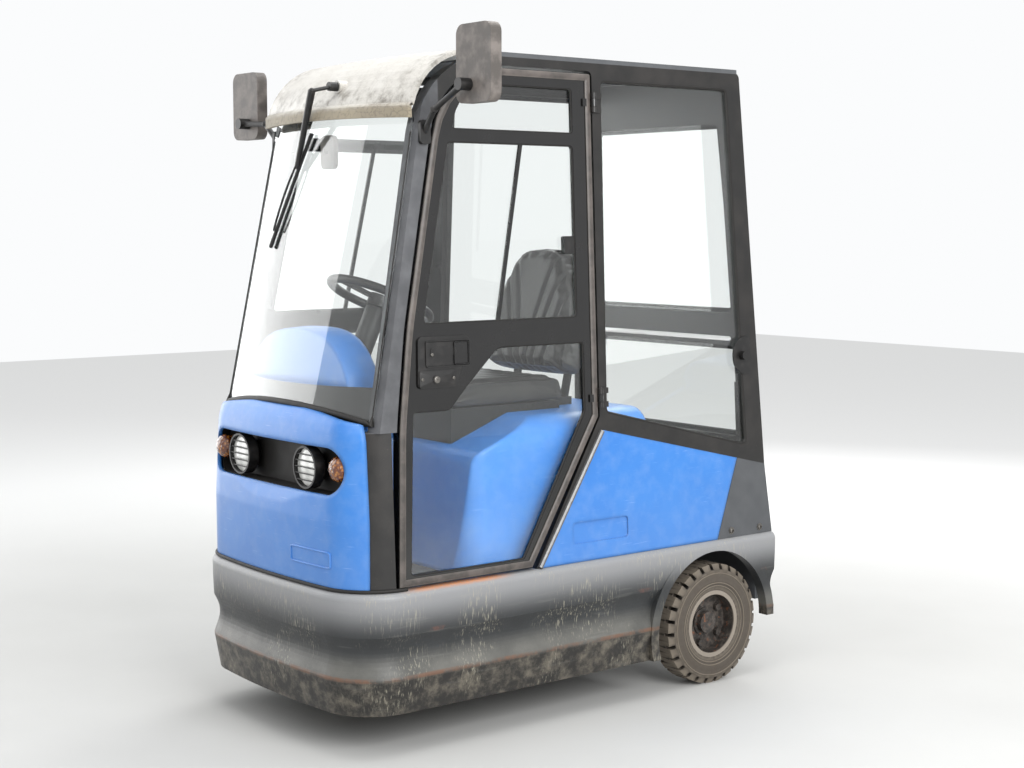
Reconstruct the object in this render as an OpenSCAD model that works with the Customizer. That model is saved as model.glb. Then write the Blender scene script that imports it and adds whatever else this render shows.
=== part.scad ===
// Airport baggage tug: a three-wheeled electric tow tractor with an enclosed glazed cab.
// Millimetres. +X is forward, +Y is the driver's left, +Z is up, and z = 0 is the ground.

/* [Wheels] */
// Outside diameter of a tyre over its lugs
tyre_d = 412; // [400:1:418]
// Width of a tyre
tyre_w = 108; // [96:1:116]
// Outside diameter of a rim's flange
rim_d = 214; // [200:1:230]
// Distance from the front axle to the rear axle
wheelbase = 1085; // [1060:5:1110]
// Distance between the middles of the rear tyres
rear_track = 832; // [810:2:840]
// Diameter of the wheel spindles
spindle_d = 50; // [40:1:56]

/* [Skirt] */
// Distance from the front axle to the skirt's nose
front_overhang = 407; // [398:1:416]
// Distance from the end of the tow jaw to the rear axle
rear_overhang = 330; // [322:1:338]
// Width over the skirt
skirt_w = 976; // [960:2:1000]
// Height of the skirt's lower edge
skirt_bottom = 127; // [110:1:140]
// Height of the skirt's top edge
skirt_top = 498; // [490:1:506]
// Height of the lower ridge
ridge_z = 238; // [225:1:250]
// Height where the scallop ends and the upper band starts
band_z = 366; // [350:1:380]
// Depth of the scallop between ridge and band
scallop_depth = 18; // [8:1:24]
// How far the lower edge is tucked in
toe_in = 21; // [10:1:28]
// Wall of the skirt
skirt_t = 38; // [34:1:44]
// Radius of the skirt's front corners in plan
corner_r = 187; // [170:1:200]
// Radius of the skirt's bowed front in plan
nose_r = 3200; // [2600:50:4000]
// Radius of the rear wheel arch
arch_r = 258; // [245:1:262]
// Width of the flared lip round the arch
arch_lip = 34; // [20:1:36]

/* [Cab] */
// Height of the top of the roof
roof_z = 2090; // [2070:2:2110]
// Inset of the cab's side from the skirt at the skirt's top
cab_inset = 17; // [14:1:22]
// Inward lean of the cab's sides, in degrees
tumble = 2.577; // [2:0.1:3]
// Thickness of the pillars
pillar_t = 45; // [40:1:52]
// Thickness of a door
door_t = 30; // [26:1:34]
// Gap round a door
door_gap = 8; // [6:1:10]
// Thickness of the panes
pane_t = 5; // [4:0.5:6]
// How far a pane laps onto its frame
pane_lap = 9; // [6:1:10]
// Thickness of the body panels
panel_t = 40; // [34:1:44]
// Height of the windscreen's lower edge at its middle
screen_z = 1027; // [1015:1:1040]
// Radius of the windscreen's bend
screen_r = 1500; // [1350:25:1700]
// Backward lean of the windscreen, in degrees
screen_lean = 11.65; // [11:0.05:12.2]

/* [Doors] */
// Position of the hinge line, forward of the middle
hinge_x = -66; // [-72:1:-60]
// Distance of the hinge pin outside the cab's side
hinge_out = 12; // [11:0.5:14]
// Diameter of a hinge pin
hinge_pin_d = 10; // [8:0.5:11]
// Height of the lower hinge
hinge_low_z = 1017; // [1005:1:1030]
// Distance of the upper hinge below the roof
hinge_drop = 137; // [125:1:150]

/* [Steering] */
// Diameter of the steering wheel
steering_d = 360; // [330:5:390]
// Thickness of the steering wheel's rim
steering_grip = 28; // [22:1:32]
// Lean of the steering column, in degrees
column_lean = 25; // [20:1:32]
// Diameter of the fork's king post
king_d = 118; // [100:1:130]

/* [Tow jaw] */
// Height of the middle of the jaw
jaw_z = 360; // [340:2:390]
// Opening of the jaw
jaw_gap = 62; // [50:1:70]
// Diameter of the bush in the lower jaw
jaw_bush_d = 32; // [28:0.5:36]

/* [Seat] */
// Height of the hood's top, under the seat
hood_z = 962; // [950:1:975]
// Width of the seat cushion
seat_w = 460; // [420:5:500]
// Depth of the seat cushion
seat_d = 470; // [430:5:490]

/* [Hidden] */
$fn = 96;

blue = "#3f7fd6";
black = "#26241f";
grey = "#55595c";
cream = "#b9b4a6";
steel = "#6b6b68";
rubber = "#3a3836";
clear = [0.75, 0.82, 0.84, 0.35];

// Small gap left between pieces that are fitted by hand
fit = 2;
// Running clearance on a radius
run = 0.06;
// Overlap that carries a cut past a face
past = 1;

overall_l = rear_overhang + wheelbase + front_overhang;
nose_x = overall_l / 2;
jaw_end_x = -overall_l / 2;
tail_x = jaw_end_x + 55;
rear_axle_x = jaw_end_x + rear_overhang;
front_axle_x = rear_axle_x + wheelbase;
axle_z = tyre_d / 2;
half_w = skirt_w / 2;

// Front edge of a door at its foot, from which the doors and the cab's front are set out
post_x = nose_x - 180;

// Points at the cab's head were measured under this roof; with another they slide along the windscreen's lean
measured_roof_z = 2090;
head_x = post_x - (roof_z - measured_roof_z) * tan(screen_lean);
hinge_z = [hinge_low_z, roof_z - hinge_drop];

// Plan of the nose: a bowed front, two tangent corners and straight sides
nose_turn = asin((half_w - corner_r) / (nose_r - corner_r));
nose_cx = nose_x - nose_r;
corner_cx = nose_cx + (nose_r - corner_r) * cos(nose_turn);
corner_cy = half_w - corner_r;

// Outside of the cab's side at a height
side_y0 = half_w - cab_inset + skirt_top * tan(tumble);
function side_y(z) = side_y0 - z * tan(tumble);
function side_in(z, t) = side_y(z) - t / cos(tumble);

// Heights of the pieces between ground and roof
deck_t = 10;
deck_z = skirt_top - 20;
floor_z = deck_z + deck_t;
rail_z = roof_z - 14;

// Unit vector of a 2-D vector
function unit(v) = v / norm(v);

// Arc of radius r that rounds corner b of a path a, b, c
function corner_arc(a, b, c, r, n) =
    let (u = unit(a - b), w = unit(c - b))
    let (half = acos(max(-1, min(1, u * w))) / 2)
    let (mid = b + unit(u + w) * r / sin(half))
    let (p = b + u * r / tan(half) - mid, q = b + w * r / tan(half) - mid)
    let (start = atan2(p.y, p.x), turn = atan2(p.x * q.y - p.y * q.x, p * q))
    [for (i = [0:n]) mid + r * [cos(start + turn * i / n), sin(start + turn * i / n)]];

// Outline with its corners rounded: each corner is [x, y, radius]
function rounded(pts, n = 8) =
    let (k = len(pts))
    [for (i = [0:k - 1])
        let (a = pts[(i + k - 1) % k], b = pts[i], c = pts[(i + 1) % k])
        each (b.z == 0 ? [[b.x, b.y]] : corner_arc([a.x, a.y], [b.x, b.y], [c.x, c.y], b.z, n))];

// Outline moved inwards by d, its corners turning anticlockwise, with their radii adjusted
function inset(pts, d) =
    let (k = len(pts))
    [for (i = [0:k - 1])
        let (a = pts[(i + k - 1) % k], b = pts[i], c = pts[(i + 1) % k])
        let (e = unit([b.x - a.x, b.y - a.y]), f = unit([c.x - b.x, c.y - b.y]))
        let (m = [-e.y, e.x], n = [-f.y, f.x], bend = e.x * f.y - e.y * f.x)
        let (p = [b.x, b.y] + d * (m + n) / (1 + m * n))
        [p.x, p.y, b.z == 0 ? 0 : max(0.5, bend > 0 ? b.z - d : b.z + d)]];

// Upright flat outline of (y, z) points carried along +X
module along_x(x, t) {
    translate([x, 0, 0]) rotate([90, 0, 90]) linear_extrude(t) children();
}

// Upright flat outline of (x, z) points carried along Y, from -y to y
module across(y) {
    translate([0, y, 0]) rotate([90, 0, 0]) linear_extrude(2 * y) children();
}

// Outline drawn on the left side of the cab: x forward, y up the leaning side
module on_side(depth, t) {
    translate([0, side_y0, 0]) rotate([90 + tumble, 0, 0])
        translate([0, 0, depth]) linear_extrude(t) children();
}

// What lies between the skirt's top and the roof, cut level
module above_skirt() {
    intersection() {
        children();
        translate([-overall_l, -skirt_w, skirt_top]) cube([2 * overall_l, 2 * skirt_w, rail_z - skirt_top]);
    }
}

// The same piece on both sides
module both_sides() {
    children();
    mirror([0, 1, 0]) children();
}

// Section of (inset, height) points carried round the nose from one side to the other
module round_nose(rear_x) {
    translate([nose_cx, 0, 0]) rotate([0, 0, -nose_turn]) rotate_extrude(angle = 2 * nose_turn, $fn = 720)
        translate([nose_r, 0]) mirror([1, 0]) children();
    both_sides() {
        translate([corner_cx, corner_cy, 0]) rotate([0, 0, nose_turn])
            rotate_extrude(angle = 90 - nose_turn)
                translate([corner_r, 0]) mirror([1, 0]) children();
        translate([corner_cx, half_w, 0]) rotate([90, 0, -90])
            linear_extrude(corner_cx - rear_x) children();
    }
}

// Plan inside the nose at an inset, from rear_x forward
function nose_plan(d, rear_x, n = 12) = concat(
    [[rear_x, d - half_w]],
    [for (i = [0:n]) let (a = -90 + (90 - nose_turn) * i / n)
        [corner_cx + (corner_r - d) * cos(a), -corner_cy + (corner_r - d) * sin(a)]],
    [for (i = [0:n]) let (a = nose_turn + (90 - nose_turn) * i / n)
        [corner_cx + (corner_r - d) * cos(a), corner_cy + (corner_r - d) * sin(a)]],
    [[rear_x, half_w - d]]);

// Closed shell between an under and an upper grid of points of the same size
module grid_shell(under, upper) {
    rows = len(under);
    cols = len(under[0]);
    points = [for (g = [under, upper]) for (r = g) each r];
    function at(layer, i, j) = layer * rows * cols + i * cols + j;
    skins = [for (i = [0:rows - 2]) for (j = [0:cols - 2]) each [
        [at(0, i, j), at(0, i + 1, j), at(0, i + 1, j + 1)],
        [at(0, i, j), at(0, i + 1, j + 1), at(0, i, j + 1)],
        [at(1, i, j), at(1, i + 1, j + 1), at(1, i + 1, j)],
        [at(1, i, j), at(1, i, j + 1), at(1, i + 1, j + 1)]]];
    sides = [for (i = [0:rows - 2]) each [
        [at(0, i, 0), at(1, i, 0), at(1, i + 1, 0)],
        [at(0, i, 0), at(1, i + 1, 0), at(0, i + 1, 0)],
        [at(0, i, cols - 1), at(1, i + 1, cols - 1), at(1, i, cols - 1)],
        [at(0, i, cols - 1), at(0, i + 1, cols - 1), at(1, i + 1, cols - 1)]]];
    ends = [for (j = [0:cols - 2]) each [
        [at(0, 0, j), at(0, 0, j + 1), at(1, 0, j + 1)],
        [at(0, 0, j), at(1, 0, j + 1), at(1, 0, j)],
        [at(0, rows - 1, j), at(1, rows - 1, j + 1), at(0, rows - 1, j + 1)],
        [at(0, rows - 1, j), at(1, rows - 1, j), at(1, rows - 1, j + 1)]]];
    polyhedron(points, concat(skins, sides, ends));
}

// Round bar between two points
module bar(p, q, r) {
    d = q - p;
    translate(p) rotate([0, acos(d.z / norm(d)), atan2(d.y, d.x)]) cylinder(r = r, h = norm(d));
}

// Slot with round ends, w wide between its centres and r in radius
module slot(w, r) {
    square([w, 2 * r], center = true);
    for (s = [-1, 1]) translate([s * w / 2, 0]) circle(r);
}

// Rectangle with round corners about its middle
module round_rect(w, h, r) {
    polygon(rounded([[-w / 2, -h / 2, r], [w / 2, -h / 2, r], [w / 2, h / 2, r], [-w / 2, h / 2, r]]));
}

// Pressed steel skirt

ridge_in = 3;

// Above 1, the scallop is deepest near the band
scallop_skew = 1.15;
band_edge_r = 24;
arch_x = rear_axle_x + 20;
guard_bottom = axle_z;

function skirt_section() = concat(
    [[skirt_t, skirt_top], [skirt_t, skirt_bottom], [toe_in, skirt_bottom], [ridge_in, ridge_z - 6]],
    [for (i = [0:10]) [ridge_in + scallop_depth * sin(180 * pow(i / 10, scallop_skew)),
        ridge_z + (band_z - ridge_z) * i / 10]],
    [for (i = [1:5]) [ridge_in * (1 - sin(18 * i)), band_z + (skirt_top - band_edge_r - band_z) * i / 5]],
    [for (i = [1:6]) band_edge_r * [1 - cos(15 * i), sin(15 * i)] + [0, skirt_top - band_edge_r]]);

module skirt() {
    color(grey) difference() {
        union() {
            round_nose(tail_x) polygon(skirt_section());
            both_sides() translate([arch_x, half_w - skirt_t, axle_z]) rotate([-90, 0, 0])
                intersection() {
                    cylinder(r = arch_r + arch_lip, h = skirt_t);
                    translate([-arch_r - arch_lip, axle_z - skirt_top + band_edge_r, 0])
                        cube([2 * (arch_r + arch_lip), skirt_top - band_edge_r - skirt_bottom, skirt_t]);
                }
        }
        translate([arch_x, 0, axle_z]) rotate([90, 0, 0]) cylinder(r = arch_r, h = skirt_w + past, center = true);
        translate([tail_x - past, -half_w - past, 0])
            cube([arch_x - tail_x + past, skirt_w + 2 * past, guard_bottom]);
    }
}

// Deck, with the ring that carries the fork

ring_r = king_d / 2 + 45;
crown_top = deck_z - 24;

module deck() {
    color(steel) {
        difference() {
            translate([0, 0, deck_z]) linear_extrude(deck_t) polygon(nose_plan(skirt_t, tail_back_x));
            translate([front_axle_x, 0, 0]) cylinder(d = king_d + 2 * run, h = deck_z + deck_t / 2);
        }
        translate([front_axle_x, 0, crown_top + fit / 4]) difference() {
            cylinder(r = ring_r, h = deck_z - crown_top - fit / 4);
            translate([0, 0, -past]) cylinder(d = king_d + 2 * run, h = deck_z);
        }
    }
}

// Rear axle with its drive motors, and the battery

motor_d = 190;
motor_w = 300;
axle_tube_d = 84;
hub_y = rear_track / 2 - 50;
hanger_y = rear_track / 2 - 216;
hanger = [110, 16];

module rear_axle() {
    color(steel) translate([rear_axle_x, 0, axle_z]) {
        rotate([90, 0, 0]) cylinder(d = motor_d, h = motor_w, center = true);
        rotate([90, 0, 0]) cylinder(d = axle_tube_d, h = 2 * hub_y - 20, center = true);
        rotate([90, 0, 0]) cylinder(d = spindle_d, h = rear_track, center = true);
        for (s = [-1, 1]) translate([-hanger.x / 2, s * hanger_y - hanger.y / 2, 0])
            cube([hanger.x, hanger.y, deck_z - axle_z]);
    }
}

battery_l = 600;
battery_h = 265;
battery_x = rear_axle_x + 70;
battery_gap = 16;

module battery() {
    w = 2 * (hood_half_w - hood_wall - battery_gap);
    color(black) translate([battery_x, -w / 2, floor_z]) cube([battery_l, w, battery_h]);
}

// Rear of the body

tail_top_x = tail_x + 31;
belt_tail_z = 739;
tail_top_z = belt_tail_z - 3;
tail_t = 22;
tow_plate_x = tail_x + 36;
tow_plate_bottom = jaw_z - 100;
tail_back_x = tow_plate_x + tail_t;

module tail_panel() {
    color(grey) intersection() {
        across(half_w) polygon([
            [tow_plate_x, tow_plate_bottom], [tow_plate_x, skirt_top - 20], [tail_x, skirt_top],
            [tail_top_x, tail_top_z], [tail_top_x + tail_t, tail_top_z],
            [tail_x + tail_t, skirt_top + 4], [tail_back_x, floor_z], [tail_back_x, tow_plate_bottom]]);
        along_x(tail_x - past, 200) polygon([
            [-half_w + skirt_t, 0], [half_w - skirt_t, 0], [half_w - skirt_t, skirt_top],
            [side_in(skirt_top, panel_t), skirt_top], [side_in(belt_tail_z, panel_t), belt_tail_z],
            [-side_in(belt_tail_z, panel_t), belt_tail_z], [-side_in(skirt_top, panel_t), skirt_top],
            [-half_w + skirt_t, skirt_top]]);
    }
}

lamp_w = 110;
lamp_h = 62;
tail_lamp_t = 18;
tail_lamp_at = [half_w - 158, 120];

module tail_lamps() {
    lean = atan2(tail_top_x - tail_x, belt_tail_z - skirt_top);
    color("#8c2a22") for (s = [-1, 1])
        translate([tail_x, s * tail_lamp_at.x, skirt_top]) rotate([0, lean, 0])
            translate([-tail_lamp_t, 0, tail_lamp_at.y]) rotate([90, 0, 90])
                linear_extrude(tail_lamp_t) round_rect(lamp_w, lamp_h, 12);
}

belt_front = [hinge_x - 17, 912];
belt_rear = [tail_top_x, belt_tail_z];
belt_slope = (belt_front.y - belt_rear.y) / (belt_front.x - belt_rear.x);
post_foot_x = hinge_x + 256;
corner_foot_x = tail_x + 268;
corner_head_x = tail_x + 166;
function belt_z(x) = belt_front.y + belt_slope * (x - belt_front.x);

module rear_corners() {
    color(grey) both_sides() above_skirt() on_side(0, panel_t) polygon([
        [corner_foot_x - fit, skirt_top], [corner_head_x - fit, belt_z(corner_head_x - fit)],
        [tail_top_x, belt_tail_z], [tail_x, skirt_top]]);
}

recess_x = [hinge_x - 115, hinge_x + 119];
recess_z = [557, 625];
recess = [for (c = [[0, 0], [1, 0], [1, 1], [0, 1]]) [recess_x[c.x], recess_z[c.y], 12]];
recess_depth = 5;

module quarter_panels() {
    color(blue) both_sides() difference() {
        above_skirt() on_side(0, panel_t) polygon([
            [corner_foot_x, skirt_top], [post_foot_x, skirt_top], [belt_front.x, belt_front.y],
            [corner_head_x, belt_z(corner_head_x)]]);
        on_side(-past, recess_depth + past) polygon(rounded(recess));
    }
}

// Hood under the seat, and the shelf behind it

hood_front_x = 430;
hood_rear_x = -330;
hood_gap = 7;
hood_half_w = side_in(hood_z, pillar_t) - hood_gap;
hood_wall = 12;
hood_round = 90;
hood_knee = [392, 863];
hood_brow_x = 130;

// Side view of the hood, d inside its skin and carried past its open rear and foot
function hood_outline(d) =
    let (rear_x = d > 0 ? hood_rear_x - past : hood_rear_x, foot_z = d > 0 ? floor_z - past : floor_z)
    [[hood_front_x - d, foot_z, 0], [hood_knee.x - d, hood_knee.y - d / 2, 60],
        [hood_brow_x, hood_z - d, 90], [rear_x, hood_z - d, 0], [rear_x, foot_z, 0]];

// The hood as a solid, d inside its skin, rounded along its top edges and its front corners
module hood_body(d) {
    w = hood_half_w - d;
    r = hood_round - d;
    intersection() {
        across(w) polygon(rounded(hood_outline(d)));
        along_x(hood_rear_x - 2 * past, hood_front_x - hood_rear_x + 2 * past) polygon(rounded([
            [-w, 0, 0], [w, 0, 0], [w, hood_z - d, r], [-w, hood_z - d, r]]));
        linear_extrude(hood_z) polygon(rounded([[hood_rear_x - 2 * past, -w, 0], [hood_front_x - d, -w, r],
            [hood_front_x - d, w, r], [hood_rear_x - 2 * past, w, 0]]));
    }
}

module seat_hood() {
    color(blue) difference() {
        hood_body(0);
        hood_body(hood_wall);
    }
}

shelf_t = 12;
shelf_drop = 22;

module rear_shelf() {
    color(black) intersection() {
        across(half_w) polygon([
            [hood_rear_x - fit, belt_z(hood_rear_x) - shelf_drop],
            [tail_top_x + tail_t + 30, belt_z(tail_top_x + tail_t + 30) - shelf_drop],
            [tail_top_x + tail_t + 30, belt_z(tail_top_x + tail_t + 30) - shelf_drop - shelf_t],
            [hood_rear_x - fit, belt_z(hood_rear_x) - shelf_drop - shelf_t]]);
        along_x(tail_x, overall_l) polygon([
            [-side_in(0, panel_t), 0], [side_in(0, panel_t), 0],
            [side_in(roof_z, panel_t), roof_z], [-side_in(roof_z, panel_t), roof_z]]);
    }
}

// Blue front cowl with its lamp recess

cowl_end_x = nose_x - 103;
cowl_t = 12;
crease_z = 914;
cowl_lean = 10;
shoulder_in = 44;
cowl_fall = 45;
cowl_top_r = 450 * 450 / (2 * cowl_fall) + cowl_fall / 2;
lamp_z = 847;
slot_r = 70;
slot_half = half_w - 110;
tray_x = cowl_end_x + 4;
tray_wall = 6;

// Height where the cowl is fullest, and the shallow scoop under the slot
cowl_belly_z = 700;
scoop_h = 45;
scoop_depth = 9;

function cowl_section() =
    let (outer = concat(
        [[cab_inset - 1, skirt_top], [cab_inset - 2, cowl_belly_z]],
        [for (i = [0:6]) [cab_inset - 1 + cowl_lean + shoulder_in * (1 - cos(13 * i)) / (1 - cos(78)),
            crease_z + (screen_z - fit - crease_z) * sin(13 * i) / sin(78)]]))
    let (k = len(outer))
    concat(outer, [for (i = [k - 1:-1:0]) outer[i] + [cowl_t, 0]]);

module below_cowl_top(gap) {
    translate([0, 0, screen_z - fit - cowl_top_r]) rotate([0, 90, 0])
        cylinder(r = cowl_top_r + gap, h = nose_x, $fn = 720);
}

// Front of the cowl where the scoop starts
scoop_x = nose_x - cab_inset + 1 - cowl_lean * (lamp_z - slot_r - scoop_h - cowl_belly_z) / (crease_z - cowl_belly_z);

module front_cowl() {
    color(blue) difference() {
        intersection() {
            round_nose(corner_cx - cowl_t) polygon(cowl_section());
            translate([cowl_end_x, -half_w, 0]) cube([nose_x - cowl_end_x, skirt_w, roof_z]);
            below_cowl_top(0);
        }
        along_x(cowl_end_x, nose_x - cowl_end_x) translate([0, lamp_z]) slot(2 * (slot_half - slot_r), slot_r);
        across(slot_half - slot_r) polygon([
            [scoop_x, lamp_z - slot_r - scoop_h], [nose_x, lamp_z - slot_r - scoop_h],
            [nose_x, lamp_z], [scoop_x - scoop_depth, lamp_z], [scoop_x - scoop_depth, lamp_z - slot_r]]);
    }
}

// Plan inside the nose at an inset, with true arcs
module inside_nose(d) {
    y = (nose_r - d) * sin(nose_turn);
    intersection() {
        translate([nose_cx, 0]) circle(nose_r - d, $fn = 720);
        translate([0, -y]) square([nose_x, 2 * y]);
    }
    for (s = [-1, 1]) translate([corner_cx, s * corner_cy]) circle(corner_r - d);
}

module lamp_tray() {
    color(black) intersection() {
        difference() {
            along_x(tray_x, nose_x - tray_x) translate([0, lamp_z]) slot(2 * (slot_half - slot_r), slot_r + tray_wall);
            along_x(tray_x + tray_wall, nose_x - tray_x) translate([0, lamp_z]) slot(2 * (slot_half - slot_r), slot_r);
        }
        linear_extrude(roof_z) inside_nose(cab_inset + cowl_lean + cowl_t);
    }
}

lamp_d = 116;
lamp_y = slot_half - 183;
lens_t = 14;
lens_dome = 6;
bowl_wall = 6;
bowl_depth = 46;
bowl_rear_r = 34;
guard_bars = 5;
guard_bar_d = 4;
guard_lift = 14;

// Place of a lamp on the tray: its axis forward from the tray's face
module on_lamp(s) {
    translate([tray_x + tray_wall, s * lamp_y, lamp_z]) rotate([0, 90, 0]) children();
}

module head_lamps() {
    r = lamp_d / 2;
    color("#d8d8d2") for (s = [-1, 1]) on_lamp(s) translate([0, 0, bowl_depth - lens_t]) rotate_extrude()
        polygon(concat([[0, 0], [r, 0]],
            [for (i = [0:6]) [r * cos(15 * i), lens_t + lens_dome * sin(15 * i)]]));
}

// Lamp bowls with the bars that guard their lenses
module lamp_guards() {
    r = lamp_d / 2 + 0.3;
    rim = bowl_depth + guard_lift;
    color(black) for (s = [-1, 1]) on_lamp(s) {
        rotate_extrude() polygon([
            [0, 0], [bowl_rear_r, 0], [r + bowl_wall, bowl_depth - lens_t - bowl_wall], [r + bowl_wall, rim],
            [r, rim], [r, bowl_depth - lens_t - 0.3], [0, bowl_depth - lens_t - 0.3]]);
        for (i = [1:guard_bars]) {
            z = lamp_d * (i / (guard_bars + 1) - 0.5);
            w = sqrt(pow(r + bowl_wall / 2, 2) - z * z);
            translate([z, 0, rim - guard_bar_d]) rotate([90, 0, 0])
                cylinder(d = guard_bar_d, h = 2 * w, center = true);
        }
    }
}

indicator_d = 76;
indicator_y = slot_half - 40;
indicator_l = 30;
indicator_dome = 26;
indicator_up = 8;

module indicators() {
    r = indicator_d / 2;
    color("#d98a2b") for (s = [-1, 1])
        translate([tray_x + tray_wall, s * indicator_y, lamp_z + indicator_up]) rotate([0, 90, 0])
            rotate_extrude() polygon(concat([[0, 0], [r - 5, 0], [r, indicator_l]],
                [for (i = [1:6]) [r * cos(15 * i), indicator_l + indicator_dome * sin(15 * i)]]));
}

// Cab sides: pillars, roof rail, belt rail and lower post

post_seam_z = 965;
screen_x = nose_x - 72;
screen_drop = 163;
screen_h = roof_z - screen_z - screen_drop;
pane_depth = 10;

// Extra height of the side's outline, cut off level at the roof rail
rail_spare = 5;
door_opening = [[hinge_x + 288, skirt_top + 4, 0], [post_x, skirt_top + 4, 0], [post_x - 18, 972, 1200],
    [post_x - 54, 1262, 1200], [head_x - 211, rail_z - 28, 270], [hinge_x, rail_z - 28, 12], [hinge_x, 957, 0]];
window_hole = [[tail_top_x + 84, 808, 20], [hinge_x - 31, 966, 20], [hinge_x - 38, rail_z - 50, 20],
    [tail_top_x + 148, rail_z - 50, 20]];
side_outline = [[post_foot_x, skirt_top, 0], [post_x + 99, skirt_top, 0], [post_x + 62, post_seam_z, 0],
    [head_x - 157, rail_z + rail_spare, 300], [tail_top_x + 90, rail_z + rail_spare, 20],
    [belt_rear.x, belt_rear.y, 0], [belt_front.x, belt_front.y, 0]];

// The hollow side of the bent windscreen, as a solid to trim against
module screen_round(r) {
    translate([screen_x, 0, screen_z]) rotate([0, -screen_lean, 0])
        translate([-screen_r, 0, -screen_h]) cylinder(r = r, h = 3 * screen_h, $fn = 720);
}

hinge_leaf = 30;
hinge_leaf_t = 5;
knuckle_r = 9;
knuckle_h = [24, 18];
knuckle_gap = 1;

// Pillar half of a hinge at height z: two knuckles, their leaf and the pin
module pillar_hinge(z) {
    for (s = [-1, 1]) {
        v = z + s * (knuckle_h[0] + knuckle_h[1] + 2 * knuckle_gap) / 2;
        knuckle(v, knuckle_h[1]);
        leaf(hinge_x - knuckle_r - hinge_leaf, hinge_x, v, knuckle_h[1]);
    }
    hinge_cylinder(z, hinge_pin_d / 2, knuckle_h[0] + 2 * knuckle_h[1]);
}

// Cylinder on the hinge line, its middle at height v
module hinge_cylinder(v, r, h) {
    translate([hinge_x, side_y0, 0]) rotate([tumble, 0, 0]) translate([0, hinge_out, v - h / 2])
        cylinder(r = r, h = h);
}

module knuckle(v, h) {
    hinge_cylinder(v, knuckle_r, h);
}

module leaf(x0, x1, v, h) {
    on_side(-hinge_leaf_t, hinge_leaf_t) translate([x0, v - h / 2]) square([x1 - x0, h]);
}

module cab_side() {
    above_skirt() intersection() {
        difference() {
            on_side(0, pillar_t) polygon(rounded(side_outline));
            on_side(-past, pillar_t + 2 * past) polygon(rounded(inset(opened(door_opening), -door_gap / 2)));
            on_side(-past, pillar_t + 2 * past) polygon(rounded(window_hole));
            on_side(pane_depth, pillar_t) polygon(rounded(inset(window_hole, -pane_lap - 0.5)));
            on_side(-past, pillar_t + 2 * past) translate([post_x - 31, 0]) square([nose_x, post_seam_z]);
        }
        screen_round(screen_r - pane_t);
    }
    intersection() {
        round_nose(post_x - 220) polygon([
            [cab_inset, skirt_top], [half_w - side_y(post_seam_z), post_seam_z],
            [half_w - side_in(post_seam_z, pillar_t), post_seam_z], [half_w - side_in(skirt_top, pillar_t), skirt_top]]);
        translate([post_x + door_gap / 2, 0, 0]) cube([cowl_end_x - fit - post_x - door_gap / 2, half_w, roof_z]);
    }
    for (z = hinge_z) pillar_hinge(z);
}

// Door opening carried down past the skirt's top
function opened(pts) = [for (p = pts) p.y < skirt_top + 10 ? [p.x, p.y - 20, p.z] : p];

module cab_side_left() { color(black) cab_side(); }
module cab_side_right() { color(black) mirror([0, 1, 0]) cab_side(); }

module side_windows() {
    color(clear) both_sides() on_side(pane_depth, pane_t) polygon(rounded(inset(window_hole, -pane_lap)));
}

// Latches of the hinged quarter windows: a D-shaped plate on the pillar with a round knob

latch_d_at = [tail_top_x + 105, 1121];
latch_d_size = [84, 130];
latch_d_t = 5;
knob_r = 15;
knob_h = 18;

module window_latches() {
    w = latch_d_size.x / 2;
    h = latch_d_size.y / 2;
    color(black) both_sides() translate([latch_d_at.x, 0, 0]) {
        on_side(-latch_d_t, latch_d_t) translate([0, latch_d_at.y])
            polygon(rounded([[-w, -h, 10], [w, -h, 60], [w, h, 60], [-w, h, 10]]));
        on_side(-latch_d_t - knob_h, knob_h + past) translate([0, latch_d_at.y]) circle(knob_r);
    }
}

// Rear wall of the cab

rear_lean = atan2(90, rail_z - belt_tail_z);
rear_t = 30;
rear_in = 2;
cross_z = [1140, 1269];
header_z = rail_z - 172;
lower_sill_z = 838;
rear_stile = 48;

// Slot along the foot of the cross rail: its height, half length and radius
rail_slot_z = cross_z[0] + 32;
rail_slot_half = half_w - 148;
rail_slot_r = 8;
function rear_s(z) = (z - belt_tail_z) / cos(rear_lean);
function rear_half(z) = side_in(z, pillar_t) - 2 * run;
function rear_hole(z0, z1) = [
    [-rear_half(z0) + rear_stile, rear_s(z0), 18], [rear_half(z0) - rear_stile, rear_s(z0), 18],
    [rear_half(z1) - rear_stile, rear_s(z1), 18], [-rear_half(z1) + rear_stile, rear_s(z1), 18]];
rear_holes = [rear_hole(lower_sill_z, cross_z[0]), rear_hole(cross_z[1], header_z)];

module on_rear(depth, t) {
    translate([tail_top_x + rear_in, 0, belt_tail_z]) rotate([0, rear_lean, 0]) rotate([90, 0, 90])
        translate([0, 0, depth]) linear_extrude(t) children();
}

module rear_frame() {
    top = rail_z - 2;
    color(black) difference() {
        on_rear(0, rear_t) polygon([
            [-rear_half(tail_top_z), rear_s(tail_top_z) + fit], [rear_half(tail_top_z), rear_s(tail_top_z) + fit],
            [rear_half(top), rear_s(top)], [-rear_half(top), rear_s(top)]]);
        for (h = rear_holes) {
            on_rear(-past, rear_t + 2 * past) polygon(rounded(h));
            on_rear(pane_depth, rear_t) polygon(rounded(inset(h, -pane_lap - 0.5)));
        }
        on_rear(-past, rear_t + 2 * past) translate([0, rear_s(rail_slot_z)])
            slot(2 * rail_slot_half, rail_slot_r);
    }
}

module rear_windows() {
    color(clear) for (h = rear_holes) on_rear(pane_depth, pane_t) polygon(rounded(inset(h, -pane_lap)));
}

// Gas struts that hold the lower rear window open, on studs inside its frame

strut_z = [842, 1128];
strut_off = 16;
strut_r = 10;
strut_rod_r = 5;
strut_body = 180;
stud_r = 6;

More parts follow.
